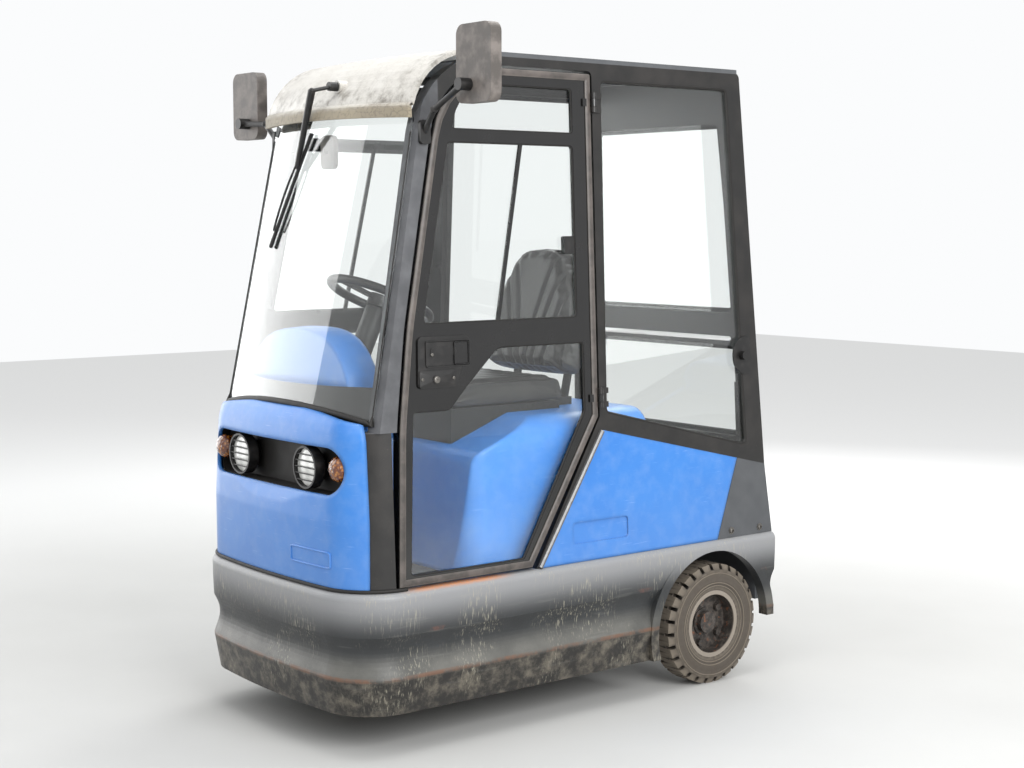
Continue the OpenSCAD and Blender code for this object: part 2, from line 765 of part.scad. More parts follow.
module gas_struts() {
    y = rear_half(strut_z[0]) - rear_stile / 2;
    foot = on_tail(y, strut_z[0], -rear_t - strut_off);
    neck = on_tail(y, strut_z[0] + strut_body, -rear_t - strut_off);
    head = on_tail(y, strut_z[1], -rear_t - strut_off);
    color(black) both_sides() {
        bar(foot, neck, strut_r);
        bar(foot, head, strut_rod_r);
        for (z = [strut_z[0] + strut_r, strut_z[1] - strut_r])
            on_rear(rear_t, strut_off) translate([y, rear_s(z)]) circle(stud_r);
    }
}

// Roof panel, moulded front cap and bent windscreen

cap_x = head_x - 431;
cap_t = 14;
cap_lip = [head_x - 99, roof_z - 210];
cap_bow = 62;
cap_crown = 6;
cap_r = 235;
cap_cols = 16;

// Rolled lip along the cap's lower edge: how far it stands out and how tall it is
lip_out = 10;
lip_h = 34;

// Vent in each front corner of the cap: its middle, width between centres, radius and tilt
vent_at = [cap_lip.x - 149, side_y(roof_z) - 28, roof_z - 53];
vent_w = 52;
vent_r = 13;
vent_tilt = 52;

module roof_panel() {
    rear_x = tail_top_x + 82;
    color(grey) translate([0, 0, rail_z]) linear_extrude(roof_z - rail_z)
        polygon(rounded([[rear_x, -side_y(rail_z), 30], [cap_x - fit / 2, -side_y(rail_z), 0],
            [cap_x - fit / 2, side_y(rail_z), 0], [rear_x, side_y(rail_z), 30]]));
}

// Points of the cap: its side profile, bowed forward and crowned across the cab
function cap_grid(d) =
    let (lip_top_x = cap_lip.x - (roof_z - cap_lip.y) * tan(screen_lean))
    let (lip_x = cap_lip.x + lip_out - d)
    let (corners = [[cap_x, roof_z - d, 0], [lip_top_x - d, roof_z - d, cap_r - d],
        [cap_lip.x - d, cap_lip.y + lip_h + lip_out, 0], [lip_x, cap_lip.y + lip_h, 0], [lip_x, cap_lip.y, 0]])
    let (path = [for (p = rounded(corners, 10)) p], n = len(path) - 1)
    [for (i = [0:n]) [for (j = [0:cap_cols])
        let (v = 2 * j / cap_cols - 1, w = i / n)
        [path[i].x + cap_bow * w * w * (1 - v * v), v * side_y(path[i].y),
            path[i].y + cap_crown * (1 - v * v)]]];

module roof_cap() {
    color(cream) {
        difference() {
            grid_shell(cap_grid(cap_t), cap_grid(0));
            both_sides() translate(vent_at) rotate([0, vent_tilt, 0]) linear_extrude(2 * cap_t, center = true)
                rotate([0, 0, 90]) slot(vent_w, vent_r);
        }
        translate([wiper_root.x - boss_l, wiper_root.y, wiper_root.z]) rotate([0, 90, 0])
            cylinder(r = boss_r, h = boss_l);
    }
}

screen_half = [half_w - 64, half_w - 100];

module windscreen() {
    color(clear) difference() {
        intersection() {
            difference() {
                screen_round(screen_r);
                screen_round(screen_r - pane_t);
            }
            translate([screen_x, 0, screen_z]) rotate([0, -screen_lean, 0]) rotate([90, 0, 90])
                translate([0, 0, -300]) linear_extrude(600) polygon(rounded([
                    [-screen_half[0], -80, 0], [screen_half[0], -80, 0],
                    [screen_half[1], screen_h, 30], [-screen_half[1], screen_h, 30]]));
        }
        below_cowl_top(fit);
    }
}

// Dash, instrument panel, column and pedals

dash_half_w = half_w - 113;
dash_r = dash_half_w - 57;
dash_x = nose_x - 231;
dash_z = 960;
dash_h = 292;
dash_ledge_t = 24;
dash_rear_x = dash_x - 8;
dash_front_x = dash_x + 96;
toe_x = nose_x - 211;
toe_t = 30;
wheel_centre = [dash_rear_x - 204, 0, 1329];
column_d = 70;
column_tip = 34;
column_l = (toe_x + toe_t / 2 - wheel_centre.x) / sin(column_lean) - column_tip;

module on_column() {
    translate(wheel_centre) rotate([0, -column_lean, 0]) children();
}

module dash() {
    color(blue) difference() {
        union() {
            intersection() {
                translate([dash_x, 0, dash_z]) rotate_extrude() polygon(concat([[0, 0]],
                    [for (i = [0:12]) [dash_r * pow(cos(7.5 * i), 0.7), dash_h * pow(sin(7.5 * i), 0.85)]]));
                translate([dash_rear_x, -dash_r, dash_z]) cube([dash_front_x - dash_rear_x, 2 * dash_r, dash_h]);
            }
            translate([toe_x, -dash_half_w, floor_z]) cube([toe_t, 2 * dash_half_w, dash_z - floor_z]);
            translate([dash_rear_x, -dash_half_w, dash_z - dash_ledge_t])
                cube([dash_front_x - dash_rear_x, 2 * dash_half_w, dash_ledge_t]);
        }
        on_column() translate([0, 0, -column_l - column_tip]) cylinder(d = column_d, h = column_l);
    }
}

panel_size = [330, 120, 14];
panel_z = dash_z + 130;

module instrument_panel() {
    color(black) along_x(dash_rear_x - panel_size.z, panel_size.z) translate([0, panel_z])
        round_rect(panel_size.x, panel_size.y, 20);
}

column_spindle_d = 24;

module steering_column() {
    color(black) on_column() {
        translate([0, 0, -column_l - column_tip]) cylinder(d = column_d, h = column_l);
        translate([0, 0, -column_tip - past]) cylinder(d = column_spindle_d, h = 30 + past);
    }
}

module steering_wheel() {
    spoke_r = steering_d / 2 - steering_grip / 2;
    color(black) on_column() {
        rotate_extrude() translate([spoke_r, 0]) circle(d = steering_grip);
        difference() {
            translate([0, 0, -column_tip + 6]) cylinder(d = 76, h = column_tip + 4);
            translate([0, 0, -column_tip]) cylinder(d = column_spindle_d + 2 * run, h = 31);
        }
        for (a = [0, 120, 240]) rotate([0, 0, a]) translate([30, -14, -8]) cube([spoke_r - 30, 28, 12]);
    }
}

pedal_y = [-150, -20];
pedal_reach = 104;
pedal_bar = 16;
pedal_pad = [14, 80, 90];
pedal_z = floor_z + 22;
pedal_drop = 150;

// Two pedals hung on bent flat bars from the toe board
module pedals() {
    knee = pedal_pad.x - pedal_reach;
    color(black) for (y = pedal_y) translate([toe_x, y - pedal_bar / 2, pedal_z]) {
        translate([knee, 0, pedal_drop - pedal_bar]) cube([-knee, pedal_bar, pedal_bar]);
        translate([knee, 0, pedal_pad.z / 3]) cube([pedal_bar, pedal_bar, pedal_drop - pedal_pad.z / 3]);
        translate([-pedal_reach, (pedal_bar - pedal_pad.y) / 2, 0]) cube(pedal_pad);
    }
}

// Seat

seat_rear_x = -110;
seat_base_h = 26;
cushion_h = 85;
back_h = 430;
back_t = 95;
back_lean = 12;

rail_w = 30;
rail_y = 135;
rail_rear_x = seat_rear_x - 95;
upright_t = 12;
upright_h = 280;

// Pan under the cushion, whose front follows the hood's slope
pan_gap = 1;
pan_half_w = seat_w / 2 - 8;
pan_front_x = seat_rear_x + seat_d - 6;
pan_front_z = hood_z + pan_gap + (hood_knee.y - hood_z) * (pan_front_x - hood_brow_x) / (hood_knee.x - hood_brow_x);

// Place of the backrest: its foot at the rear of the cushion, leaning back
module on_back() {
    translate([seat_rear_x + 10, 0, hood_z + seat_base_h + cushion_h + 4]) rotate([0, -back_lean, 0]) children();
}

module seat_base() {
    color(black) {
        for (s = [-1, 1]) {
            translate([rail_rear_x, s * rail_y - rail_w / 2, hood_z])
                cube([seat_rear_x + seat_d - 60 - rail_rear_x, rail_w, seat_base_h]);
            on_back() translate([-back_t - upright_t, s * rail_y - rail_w / 2, -cushion_h])
                cube([upright_t, rail_w, upright_h]);
        }
        across(pan_half_w) polygon([
            [hood_brow_x, hood_z + pan_gap], [pan_front_x, pan_front_z], [pan_front_x, hood_z + seat_base_h],
            [seat_rear_x + 20, hood_z + seat_base_h], [seat_rear_x + 20, hood_z + pan_gap]]);
    }
}

module seat_cushion() {
    color(black) across(seat_w / 2) translate([seat_rear_x, hood_z + seat_base_h]) polygon(rounded([
        [0, 0, 20], [seat_d, 0, 30], [seat_d, cushion_h, 38], [0, cushion_h - 8, 20]]));
}

module seat_back() {
    color(black) on_back() along_x(-back_t, back_t) polygon(rounded([
            [-seat_w / 2 + 10, 0, 40], [seat_w / 2 - 10, 0, 40], [seat_w / 2 - 25, back_h * 0.6, 180],
            [110, back_h, 110], [-110, back_h, 110], [-seat_w / 2 + 25, back_h * 0.6, 180]]));
}

// Mirrors, wipers and the inside mirror

mirror_size = [165, 224, 38];
mirror_y = half_w + 137;
mirror_x = [head_x - 183, head_x - 156];
mirror_z = [roof_z - 64, roof_z - 124];
arm_r = 9;
bracket_at = [head_x - 141, roof_z - 250];
clamp_r = 18;
clamp_l = 40;

// One arm: bracket on the pillar, a bent bar and the clamp that holds the head
module mirror_arm(x, z) {
    root = [bracket_at.x, side_y(bracket_at.y) + arm_r, bracket_at.y];
    elbow = [bracket_at.x + 10, side_y(bracket_at.y) + 70, bracket_at.y + 60];
    clamp = [x + mirror_size.z / 2 + 22, mirror_y - 20, z - 60];
    on_side(-14, 14) translate([bracket_at.x, bracket_at.y]) round_rect(36, 70, 10);
    bar(root, elbow, arm_r);
    translate(elbow) sphere(arm_r + 3);
    bar(elbow, clamp, arm_r);
    translate([x + mirror_size.z / 2, clamp.y, clamp.z]) rotate([0, 90, 0]) cylinder(r = clamp_r, h = clamp_l);
}

module mirror_arms() {
    color(black) {
        mirror_arm(mirror_x[0], mirror_z[0]);
        mirror([0, 1, 0]) mirror_arm(mirror_x[1], mirror_z[1]);
    }
}

module mirror_head(x, z) {
    translate([x - mirror_size.z / 2, mirror_y, z]) rotate([90, 0, 90])
        linear_extrude(mirror_size.z) round_rect(mirror_size.x, mirror_size.y, 30);
}

module mirror_heads() {
    color(grey) {
        mirror_head(mirror_x[0], mirror_z[0]);
        mirror([0, 1, 0]) mirror_head(mirror_x[1], mirror_z[1]);
    }
}

// Point on the outside of the windscreen, off it by d
function on_screen(y, z, d) =
    let (bow = screen_r - sqrt(screen_r * screen_r - y * y))
    [screen_x - (z - screen_z) * tan(screen_lean) - bow / cos(screen_lean) + d, y, z];

// Point on the outside of the rear wall, off it by d
function on_tail(y, z, d) = [tail_top_x + rear_in + (z - belt_tail_z) * tan(rear_lean) - d, y, z];

// Boss on the cap that carries the front wiper: its face, length and radius
wiper_root = [cap_lip.x + 12, 30, roof_z - 100];
boss_l = 34;
boss_r = 20;
hub_r = 14;
hub_l = 30;
blade_r = 6;
arm_bar_r = 5;

// Front wiper: the ends of its blade, as width and height, its distance off the glass and where the arm holds it
wiper_blade = [[-65, roof_z - 240], [-230, roof_z - 595]];
blade_off = 10;
wiper_joint = 0.3;

// Rear wiper: its pivot and the blade's foot, as width and height
rear_wiper = [[half_w - 208, roof_z - 150], [half_w - 168, roof_z - 700]];

module wipers() {
    color(black) {
        elbow = wiper_root + [hub_l + 48, -20, -14];
        joint = wiper_blade[0] + wiper_joint * (wiper_blade[1] - wiper_blade[0]);
        translate(wiper_root) rotate([0, 90, 0]) cylinder(r = hub_r, h = hub_l);
        bar(wiper_root + [hub_l / 2, 0, 0], elbow, blade_r);
        translate(elbow) sphere(blade_r + 3);
        bar(elbow, on_screen(joint.x, joint.y, blade_off + 4), arm_bar_r);
        bar(on_screen(wiper_blade[0].x, wiper_blade[0].y, blade_off),
            on_screen(wiper_blade[1].x, wiper_blade[1].y, blade_off), blade_r);
        on_rear(-hub_l, hub_l) translate([rear_wiper[0].x, rear_s(rear_wiper[0].y)]) circle(hub_r);
        bar(on_tail(rear_wiper[0].x, rear_wiper[0].y, hub_l / 2), on_tail(rear_wiper[1].x, rear_wiper[1].y, hub_l / 2),
            blade_r);
    }
}

inside_mirror_at = [head_x - 87, roof_z - 300];
inside_mirror_size = [76, 104, 16];
stem_r = 5;

module inside_mirror() {
    glass_x = on_screen(0, inside_mirror_at.y + stem_r, -pane_t / cos(screen_lean)).x;
    color(grey) {
        along_x(inside_mirror_at.x, inside_mirror_size.z) translate([0, inside_mirror_at.y])
            round_rect(inside_mirror_size.x, inside_mirror_size.y, 20);
        translate([inside_mirror_at.x + inside_mirror_size.z - past, 0, inside_mirror_at.y]) rotate([0, 90, 0])
            cylinder(r = stem_r, h = glass_x - inside_mirror_at.x - inside_mirror_size.z + past);
    }
}

// Tow jaw and its pin

jaw_plate = [180, 200];
jaw_plate_t = 20;
jaw_w = 120;
jaw_lip_t = 24;
jaw_pin_x = jaw_end_x + 45;
pin_l = 60;

module tow_jaw() {
    bush_r = jaw_bush_d / 2;
    color(black) {
        translate([tow_plate_x - jaw_plate_t, -jaw_plate.x / 2, jaw_z - jaw_plate.y / 2])
            cube([jaw_plate_t, jaw_plate.x, jaw_plate.y]);
        for (s = [-1, 1]) difference() {
            translate([0, 0, jaw_z + s * (jaw_gap + jaw_lip_t) / 2 - jaw_lip_t / 2]) linear_extrude(jaw_lip_t)
                polygon(rounded([[tow_plate_x - jaw_plate_t, -jaw_w / 2, 0], [tow_plate_x - jaw_plate_t, jaw_w / 2, 0],
                    [jaw_end_x, jaw_w / 2, 34], [jaw_end_x, -jaw_w / 2, 34]]));
            translate([jaw_pin_x, 0, 0]) cylinder(r = bush_r, h = roof_z);
        }
    }
}

module tow_pin() {
    pin_r = jaw_bush_d / 2 - 1;
    color(steel) translate([jaw_pin_x, 0, jaw_z + jaw_gap / 2]) {
        cylinder(r = pin_r, h = pin_l);
        translate([0, 0, jaw_lip_t]) cylinder(r = pin_r + 8, h = 10);
        translate([0, 0, pin_l + 18]) rotate([0, 90, 0]) rotate_extrude() translate([24, 0]) circle(r = 6);
    }
}

// Doors

lower_hole = [[hinge_x + 320, 535, 14], [post_x - 49, 535, 14], [post_x - 73, 1020, 14], [post_x - 209, 1020, 30],
    [post_x - 269, 1082, 60], [post_x - 396, 1199, 60], [hinge_x + 56, 1199, 14], [hinge_x + 56, 978, 20]];
upper_hole = [[hinge_x + 80, 1277, 16], [post_x - 119, 1277, 16], [head_x - 228, rail_z - 259, 16],
    [hinge_x + 80, rail_z - 259, 16]];
top_hole = [[hinge_x + 80, rail_z - 223, 12], [head_x - 244, rail_z - 223, 12], [head_x - 279, rail_z - 82, 150],
    [hinge_x + 80, rail_z - 82, 12]];
door_holes = [lower_hole, upper_hole, top_hole];
slider_x = [post_x - 409, head_x - 519];
slider_w = 14;
slider_bar = [[slider_x[0], 1270], [slider_x[0] + slider_w, 1270], [slider_x[1] + slider_w, rail_z - 251],
    [slider_x[1], rail_z - 251]];
slider_t = 6;

module door_hinge(z) {
    difference() {
        union() {
            knuckle(z, knuckle_h[0]);
            leaf(hinge_x, hinge_x + knuckle_r + hinge_leaf, z, knuckle_h[0]);
        }
        hinge_cylinder(z, hinge_pin_d / 2 + 0.2, 2 * knuckle_h[0]);
    }
}

module door() {
    difference() {
        on_side(0, door_t) polygon(rounded(inset(door_opening, door_gap / 2)));
        for (h = door_holes) {
            on_side(-past, door_t + 2 * past) polygon(rounded(h));
            on_side(pane_depth, door_t) polygon(rounded(inset(h, -pane_lap - 0.5)));
        }
    }
    on_side(pane_depth - slider_t, slider_t) polygon(slider_bar);
    for (z = hinge_z) door_hinge(z);
}

module door_glass() {
    for (h = door_holes) on_side(pane_depth, pane_t) polygon(rounded(inset(h, -pane_lap)));
}

latch_plate = [[post_x - 229, 1086, 16], [post_x - 91, 1086, 16], [post_x - 95, 1240, 16], [post_x - 291, 1240, 16]];
latch_t = 6;
handle_at = [post_x - 186, 1195];
handle_size = [120, 56];
lock_at = [post_x - 156, 1112];
lock_d = 28;
lever_size = [96, 24];
slider_latch_at = [hinge_x + 111, 1505];
slider_latch_size = [40, 56];

module latch() {
    difference() {
        on_side(-latch_t, latch_t) polygon(rounded(latch_plate));
        on_side(-latch_t - past, latch_t) translate(handle_at) round_rect(handle_size.x, handle_size.y, 12);
    }
    on_side(-latch_t - 2, latch_t + 1) translate(handle_at) round_rect(lever_size.x, lever_size.y, 10);
    on_side(-2 * latch_t, 2 * latch_t) translate(lock_at) circle(d = lock_d);
    on_side(-latch_t, latch_t + pane_depth) translate(slider_latch_at)
        round_rect(slider_latch_size.x, slider_latch_size.y, 6);
}

module door_left() { color(black) door(); }
module door_right() { color(black) mirror([0, 1, 0]) door(); }
module door_left_glass() { color(clear) door_glass(); }
module door_right_glass() { color(clear) mirror([0, 1, 0]) door_glass(); }
module door_left_latch() { color(black) latch(); }
module door_right_latch() { color(black) mirror([0, 1, 0]) latch(); }

// Fork and wheels

fork_gap = 12;
fork_leg = 18;
fork_crown_t = 22;

module fork() {
    leg_y = tyre_w / 2 + fork_gap;
    color(steel) translate([front_axle_x, 0, 0]) {
        translate([0, 0, crown_top - fork_crown_t]) cylinder(r = ring_r, h = fork_crown_t);
        translate([0, 0, crown_top]) cylinder(d = king_d, h = deck_z - crown_top - fit);
        for (s = [-1, 1]) translate([0, s * (leg_y + fork_leg / 2), 0]) rotate([90, 0, 0])
            linear_extrude(fork_leg, center = true) polygon(rounded([
                [-42, axle_z - 42, 40], [42, axle_z - 42, 40], [70, crown_top - fork_crown_t / 2, 0],
                [-70, crown_top - fork_crown_t / 2, 0]]));
        translate([0, 0, axle_z]) rotate([90, 0, 0]) cylinder(d = spindle_d, h = 2 * leg_y + fork_leg, center = true);
    }
}

rim_w = 92;
bead_r = rim_d / 2;
flange_h = 8;

// Section of a tyre: bead, bulged wall and flat tread
function tyre_section() = [
    [bead_r, 6 - rim_w / 2], [bead_r + flange_h, 5 - rim_w / 2], [bead_r + flange_h, -rim_w / 2],
    [bead_r + 16, -tyre_w / 2 + 6], [bead_r + 42, -tyre_w / 2],
    [axle_z - 22, -tyre_w / 2 + 2], [axle_z, -tyre_w / 2 + 14], [axle_z, tyre_w / 2 - 14],
    [axle_z - 22, tyre_w / 2 - 2], [bead_r + 42, tyre_w / 2], [bead_r + 16, tyre_w / 2 - 6],
    [bead_r + flange_h, rim_w / 2], [bead_r + flange_h, rim_w / 2 - 5], [bead_r, rim_w / 2 - 6]];

// Blocks of the tread: how many on a shoulder, the gap between them, its depth and its reach inwards
lug_count = 28;
lug_gap = 12;
lug_depth = 18;
lug_reach = 34;

module tyre() {
    color(rubber) difference() {
        rotate_extrude() polygon(tyre_section());
        for (s = [-1, 1], i = [1:lug_count]) rotate([0, 0, 360 / lug_count * (i + s / 4)])
            translate([axle_z - lug_depth, -lug_gap / 2, s * (tyre_w - lug_reach) / 2 - lug_reach / 2 - past])
                cube([lug_depth + past, lug_gap, lug_reach + 2 * past]);
    }
}

disc_t = 12;
barrel_t = 6;
hub_wall = 22;
wheel_nuts = 5;
nut_d = 26;
nut_h = 16;
hub_cap_h = 20;

// Rim with its disc at height disc_z, nuts round its hub and a bore that runs on the spindle
module rim(disc_z) {
    hub_r = spindle_d / 2 + hub_wall;
    bore_r = spindle_d / 2 + run;
    nut_ring_r = (hub_r + bead_r - barrel_t) / 2;
    color(black) {
        for (i = [1:wheel_nuts]) rotate([0, 0, 360 / wheel_nuts * i])
            translate([nut_ring_r, 0, disc_z]) cylinder(d = nut_d, h = disc_t / 2 + nut_h, $fn = 6);
        rotate_extrude() polygon([
            [bead_r - barrel_t, -rim_w / 2], [bead_r + flange_h, -rim_w / 2], [bead_r + flange_h, -rim_w / 2 + 5],
            [bead_r, -rim_w / 2 + 6], [bead_r, rim_w / 2 - 6], [bead_r + flange_h, rim_w / 2 - 5],
            [bead_r + flange_h, rim_w / 2], [bead_r - barrel_t, rim_w / 2]]);
        difference() {
            union() {
                translate([0, 0, disc_z - disc_t / 2]) cylinder(r = bead_r - barrel_t / 2, h = disc_t);
                translate([0, 0, -rim_w / 2]) cylinder(r = hub_r, h = rim_w / 2 + disc_z + disc_t);
            }
            translate([0, 0, -rim_w]) cylinder(r = bore_r, h = 2 * rim_w);
        }
    }
}

rear_disc_z = -10;

module on_rear_left() {
    translate([rear_axle_x, rear_track / 2, axle_z]) rotate([-90, 0, 0]) children();
}

module on_front() {
    translate([front_axle_x, 0, axle_z]) rotate([-90, 0, 0]) children();
}

module rear_tyre_left() { on_rear_left() tyre(); }
module rear_tyre_right() { mirror([0, 1, 0]) on_rear_left() tyre(); }
// A rear rim also has a cap over the spindle's end
module rear_rim() {
    rim(rear_disc_z);
    color(black) translate([0, 0, rear_disc_z + disc_t]) cylinder(r = spindle_d / 2 + hub_wall / 2, h = hub_cap_h);
}

module rear_rim_left() { on_rear_left() rear_rim(); }
module rear_rim_right() { mirror([0, 1, 0]) on_rear_left() rear_rim(); }
module front_tyre() { on_front() tyre(); }
module front_rim() { on_front() rim(0); }

skirt();
deck();
rear_axle();
battery();
tail_panel();
tail_lamps();
rear_corners();
quarter_panels();
seat_hood();
rear_shelf();
front_cowl();
lamp_tray();
head_lamps();
lamp_guards();
indicators();
cab_side_left();
cab_side_right();
rear_frame();
rear_windows();
side_windows();
window_latches();
gas_struts();
roof_panel();
roof_cap();
windscreen();
dash();
instrument_panel();
steering_column();
pedals();
seat_base();
seat_cushion();
seat_back();
mirror_arms();
mirror_heads();
wipers();
inside_mirror();
tow_jaw();
tow_pin();
door_left();
door_left_glass();
door_left_latch();
door_right();
door_right_glass();
door_right_latch();
fork();
front_tyre();
front_rim();
rear_tyre_left();
rear_rim_left();
rear_tyre_right();
rear_rim_right();
steering_wheel();
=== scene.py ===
import bmesh
import bpy
import numpy as np
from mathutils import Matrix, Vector


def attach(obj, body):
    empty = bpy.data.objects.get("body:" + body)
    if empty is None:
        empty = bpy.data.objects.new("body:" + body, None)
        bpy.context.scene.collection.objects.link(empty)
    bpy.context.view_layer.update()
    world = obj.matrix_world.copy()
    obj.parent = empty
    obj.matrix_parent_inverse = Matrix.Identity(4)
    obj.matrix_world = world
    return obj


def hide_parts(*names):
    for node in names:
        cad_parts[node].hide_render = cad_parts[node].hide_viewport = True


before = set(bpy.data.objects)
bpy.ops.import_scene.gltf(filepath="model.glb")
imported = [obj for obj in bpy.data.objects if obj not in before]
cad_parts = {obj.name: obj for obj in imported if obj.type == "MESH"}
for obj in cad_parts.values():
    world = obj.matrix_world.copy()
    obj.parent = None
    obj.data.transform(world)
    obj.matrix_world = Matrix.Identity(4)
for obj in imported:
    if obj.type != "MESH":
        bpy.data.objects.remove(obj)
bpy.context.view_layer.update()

# Camera
# A stills camera on a tripod off the machine's front left, at about eye height.
# Its place and lens come from the photograph's straight edges.
azimuth, fall = np.radians(141.6375), np.radians(5.4644)
view = bpy.data.cameras.new("stills_camera")
view.sensor_width = 36.0
view.lens = 59.872
camera = bpy.data.objects.new("stills_camera", view)
camera.location = (3.5151, 4.5267, 1.5786)
camera.rotation_euler = Vector((
    -np.sin(azimuth) * np.cos(fall), np.cos(azimuth) * np.cos(fall), -np.sin(fall)
)).to_track_quat("-Z", "Y").to_euler()
bpy.context.scene.collection.objects.link(camera)
bpy.context.scene.camera = camera
bpy.context.scene.view_settings.view_transform = "Standard"


# Studio
# A sealed pale concrete floor under white paper, lit by large soft boxes above and at both sides.
# A white card stands off the right front corner, and only the glass and gloss mirror it.
def linear(code):
    """sRGB hex to linear RGBA: ((c + 0.055) / 1.055) ** 2.4, or c / 12.92 below 0.04045."""
    c = np.array([int(code[i:i + 2], 16) for i in (1, 3, 5)]) / 255
    return (*np.where(c <= 0.04045, c / 12.92, ((c + 0.055) / 1.055) ** 2.4).tolist(), 1.0)


def add(tree, kind, out="", to=None, **given):
    """Adds one shader node: sets its settings, fills or links its sockets, links and gives one output."""
    made = tree.nodes.new("ShaderNode" + kind)
    settings = {name: value for name, value in given.items() if hasattr(made, name)}
    for name, value in settings.items():
        setattr(made, name, value)
    for name, value in given.items():
        if name not in settings:
            socket = next(s for s in made.inputs
                          if s.enabled and name in (s.identifier, s.name.replace(" ", "_")))
            if isinstance(value, bpy.types.NodeSocket):
                tree.links.new(value, socket)
            else:
                socket.default_value = linear(value) if isinstance(value, str) else value
    result = next(s for s in made.outputs if s.enabled and out in (s.name, ""))
    if to is not None:
        tree.links.new(result, to)
    return result


def material(name, **sockets):
    """A new material, plain values on its shader's sockets: itself, tree, sockets, Object coordinates."""
    mat = bpy.data.materials.new(name)
    mat.use_nodes = True
    shader = mat.node_tree.nodes["Principled BSDF"].inputs
    for socket, value in sockets.items():
        shader[socket.replace("_", " ")].default_value = linear(value) if isinstance(value, str) else value
    return mat, mat.node_tree, shader, add(mat.node_tree, "TexCoord", "Object")


eased = {"interpolation_type": "SMOOTHSTEP"}

# Sealed concrete: a floated slab, so faint clouds 0.6 m across and no gloss, painted paler away from the
# machine: painted light where the lamps' pool fades
concrete, tree, shader, at = material("sealed_concrete", Roughness=0.8, Specular_IOR_Level=0.0)
clouds = add(tree, "TexNoise", "Fac", Vector=at, Scale=1 / 0.6, Detail=4.0)
slab = add(tree, "Mix", "Result", data_type="RGBA", Factor=clouds, A="#BEBEBC", B="#C8C8C6")
# Painted light: the floor turns paler with distance from the machine, to make up for the lamps' fall-off
painted_far_light = add(tree, "VectorMath", "Value", operation="LENGTH", Vector=at)
painted_far_light = add(tree, "MapRange", "Result", **eased, Value=painted_far_light, From_Min=1.6, From_Max=5.5)
add(tree, "Mix", "Result", data_type="RGBA", Factor=painted_far_light, A=slab, B="#F6F6F5", to=shader["Base Color"])

reach = 14.0
mesh = bpy.data.meshes.new("studio_floor")
square = np.array(((-1, -1, 0), (1, -1, 0), (1, 1, 0), (-1, 1, 0))) * reach
mesh.from_pydata(square.tolist(), [], [(0, 1, 2, 3)])
mesh.materials.append(concrete)
floor = bpy.data.objects.new("studio_floor", mesh)
bpy.context.scene.collection.objects.link(floor)

world = bpy.data.worlds.new("white_paper")
bpy.context.scene.world = world
world.use_nodes = True
tree = world.node_tree
sky = tree.nodes["Background"].inputs
rays = add(tree, "LightPath").node.outputs
mirrored = add(tree, "Math", operation="ADD", Value=rays["Is Glossy Ray"],
               Value_001=rays["Is Transmission Ray"])
shown = add(tree, "Math", operation="ADD", Value=rays["Is Camera Ray"], Value_001=mirrored)
add(tree, "MapRange", "Result", Value=shown, To_Min=0.78, To_Max=1.0, to=sky["Strength"])
sky["Color"].default_value = linear("#FBFCFD")

for name, place, aim, width, height, power in (
        ("front_box", (5.2, 1.2, 4.4), (0.4, 0.0, 0.9), 3.4, 3.4, 55.0),
        ("left_box", (0.6, 5.4, 3.2), (0.0, 0.2, 0.9), 3.4, 2.8, 260.0),
        ("rear_box", (-4.2, -2.6, 3.6), (-0.2, 0.0, 1.1), 3.0, 2.6, 120.0),
        ("top_box", (0.0, 0.0, 5.0), (0.0, 0.0, 0.0), 3.4, 3.0, 130.0),
        ("white_card", (2.2, -4.8, 2.1), (0.6, 0.0, 1.4), 5.6, 4.4, 210.0)):
    lamp = bpy.data.lights.new(name, "AREA")
    lamp.shape = "RECTANGLE"
    lamp.size, lamp.size_y = width, height
    lamp.energy = power
    holder = bpy.data.objects.new(name, lamp)
    holder.location = place
    holder.rotation_euler = (Vector(aim) - Vector(place)).to_track_quat("-Z", "Y").to_euler()
    holder.visible_diffuse = name != "white_card"
    bpy.context.scene.collection.objects.link(holder)


# Skirt
# Pressed steel bumper skirt, sprayed dark grey and bolted round the chassis.
# Carts have scraped it: the ridge is worn to rust, and the sides carry pale strokes and dust.
def dress(mat, *names):
    """Gives CAD nodes one material."""
    for name in names:
        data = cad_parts[name].data
        data.materials.clear()
        data.materials.append(mat)


ridge_z, band_z, sill_z = 0.238, 0.372, 0.497

# Sprayed steel: satin paint over a pressed sheet, so a soft sheen, with bare rust where it rubs
bumper, tree, shader, at = material("worn_bumper_paint")
x, y, z = (add(tree, "SeparateXYZ", axis, Vector=at) for axis in "XYZ")
cloud = add(tree, "TexNoise", "Fac", Vector=at, Scale=1 / 0.14, Detail=5.0, Roughness=0.6)
fine = add(tree, "TexNoise", "Fac", Vector=at, Scale=1 / 0.009, Detail=6.0, Roughness=0.7)
patch = add(tree, "TexNoise", "Fac", Vector=at, Scale=1 / 0.045, Detail=6.0, Roughness=0.7)
upright = add(tree, "Mapping", Vector=at, Scale=(1.0, 1.0, 0.14))
level = add(tree, "Mapping", Vector=at, Scale=(0.10, 0.10, 1.0))
paint = add(tree, "Mix", "Result", data_type="RGBA", Factor=cloud, A="#1D1F20", B="#36383A")
# Painted highlight: the band turns pale grey towards its top, standing in for the white studio mirrored in
# the satin paint
painted_top_highlight = add(tree, "MapRange", "Result", **eased, Value=z, From_Min=0.36, From_Max=0.48, To_Max=0.85)
paint = add(tree, "Mix", "Result", data_type="RGBA", Factor=painted_top_highlight, A=paint, B="#949597")
# Dust lies where the pressing turns up above its ridge, and this up-facing shelf is also painted lighter:
# painted light where it faces the lamps above
dust_and_lit_shelf = add(tree, "MapRange", "Result", **eased, Value=z, From_Min=0.325, From_Max=0.255, To_Max=0.7)
dust_and_lit_shelf = add(tree, "Math", operation="MULTIPLY", Value=dust_and_lit_shelf, Value_001=cloud)
paint = add(tree, "Mix", "Result", data_type="RGBA", Factor=dust_and_lit_shelf, A=paint, B="#8A8880")
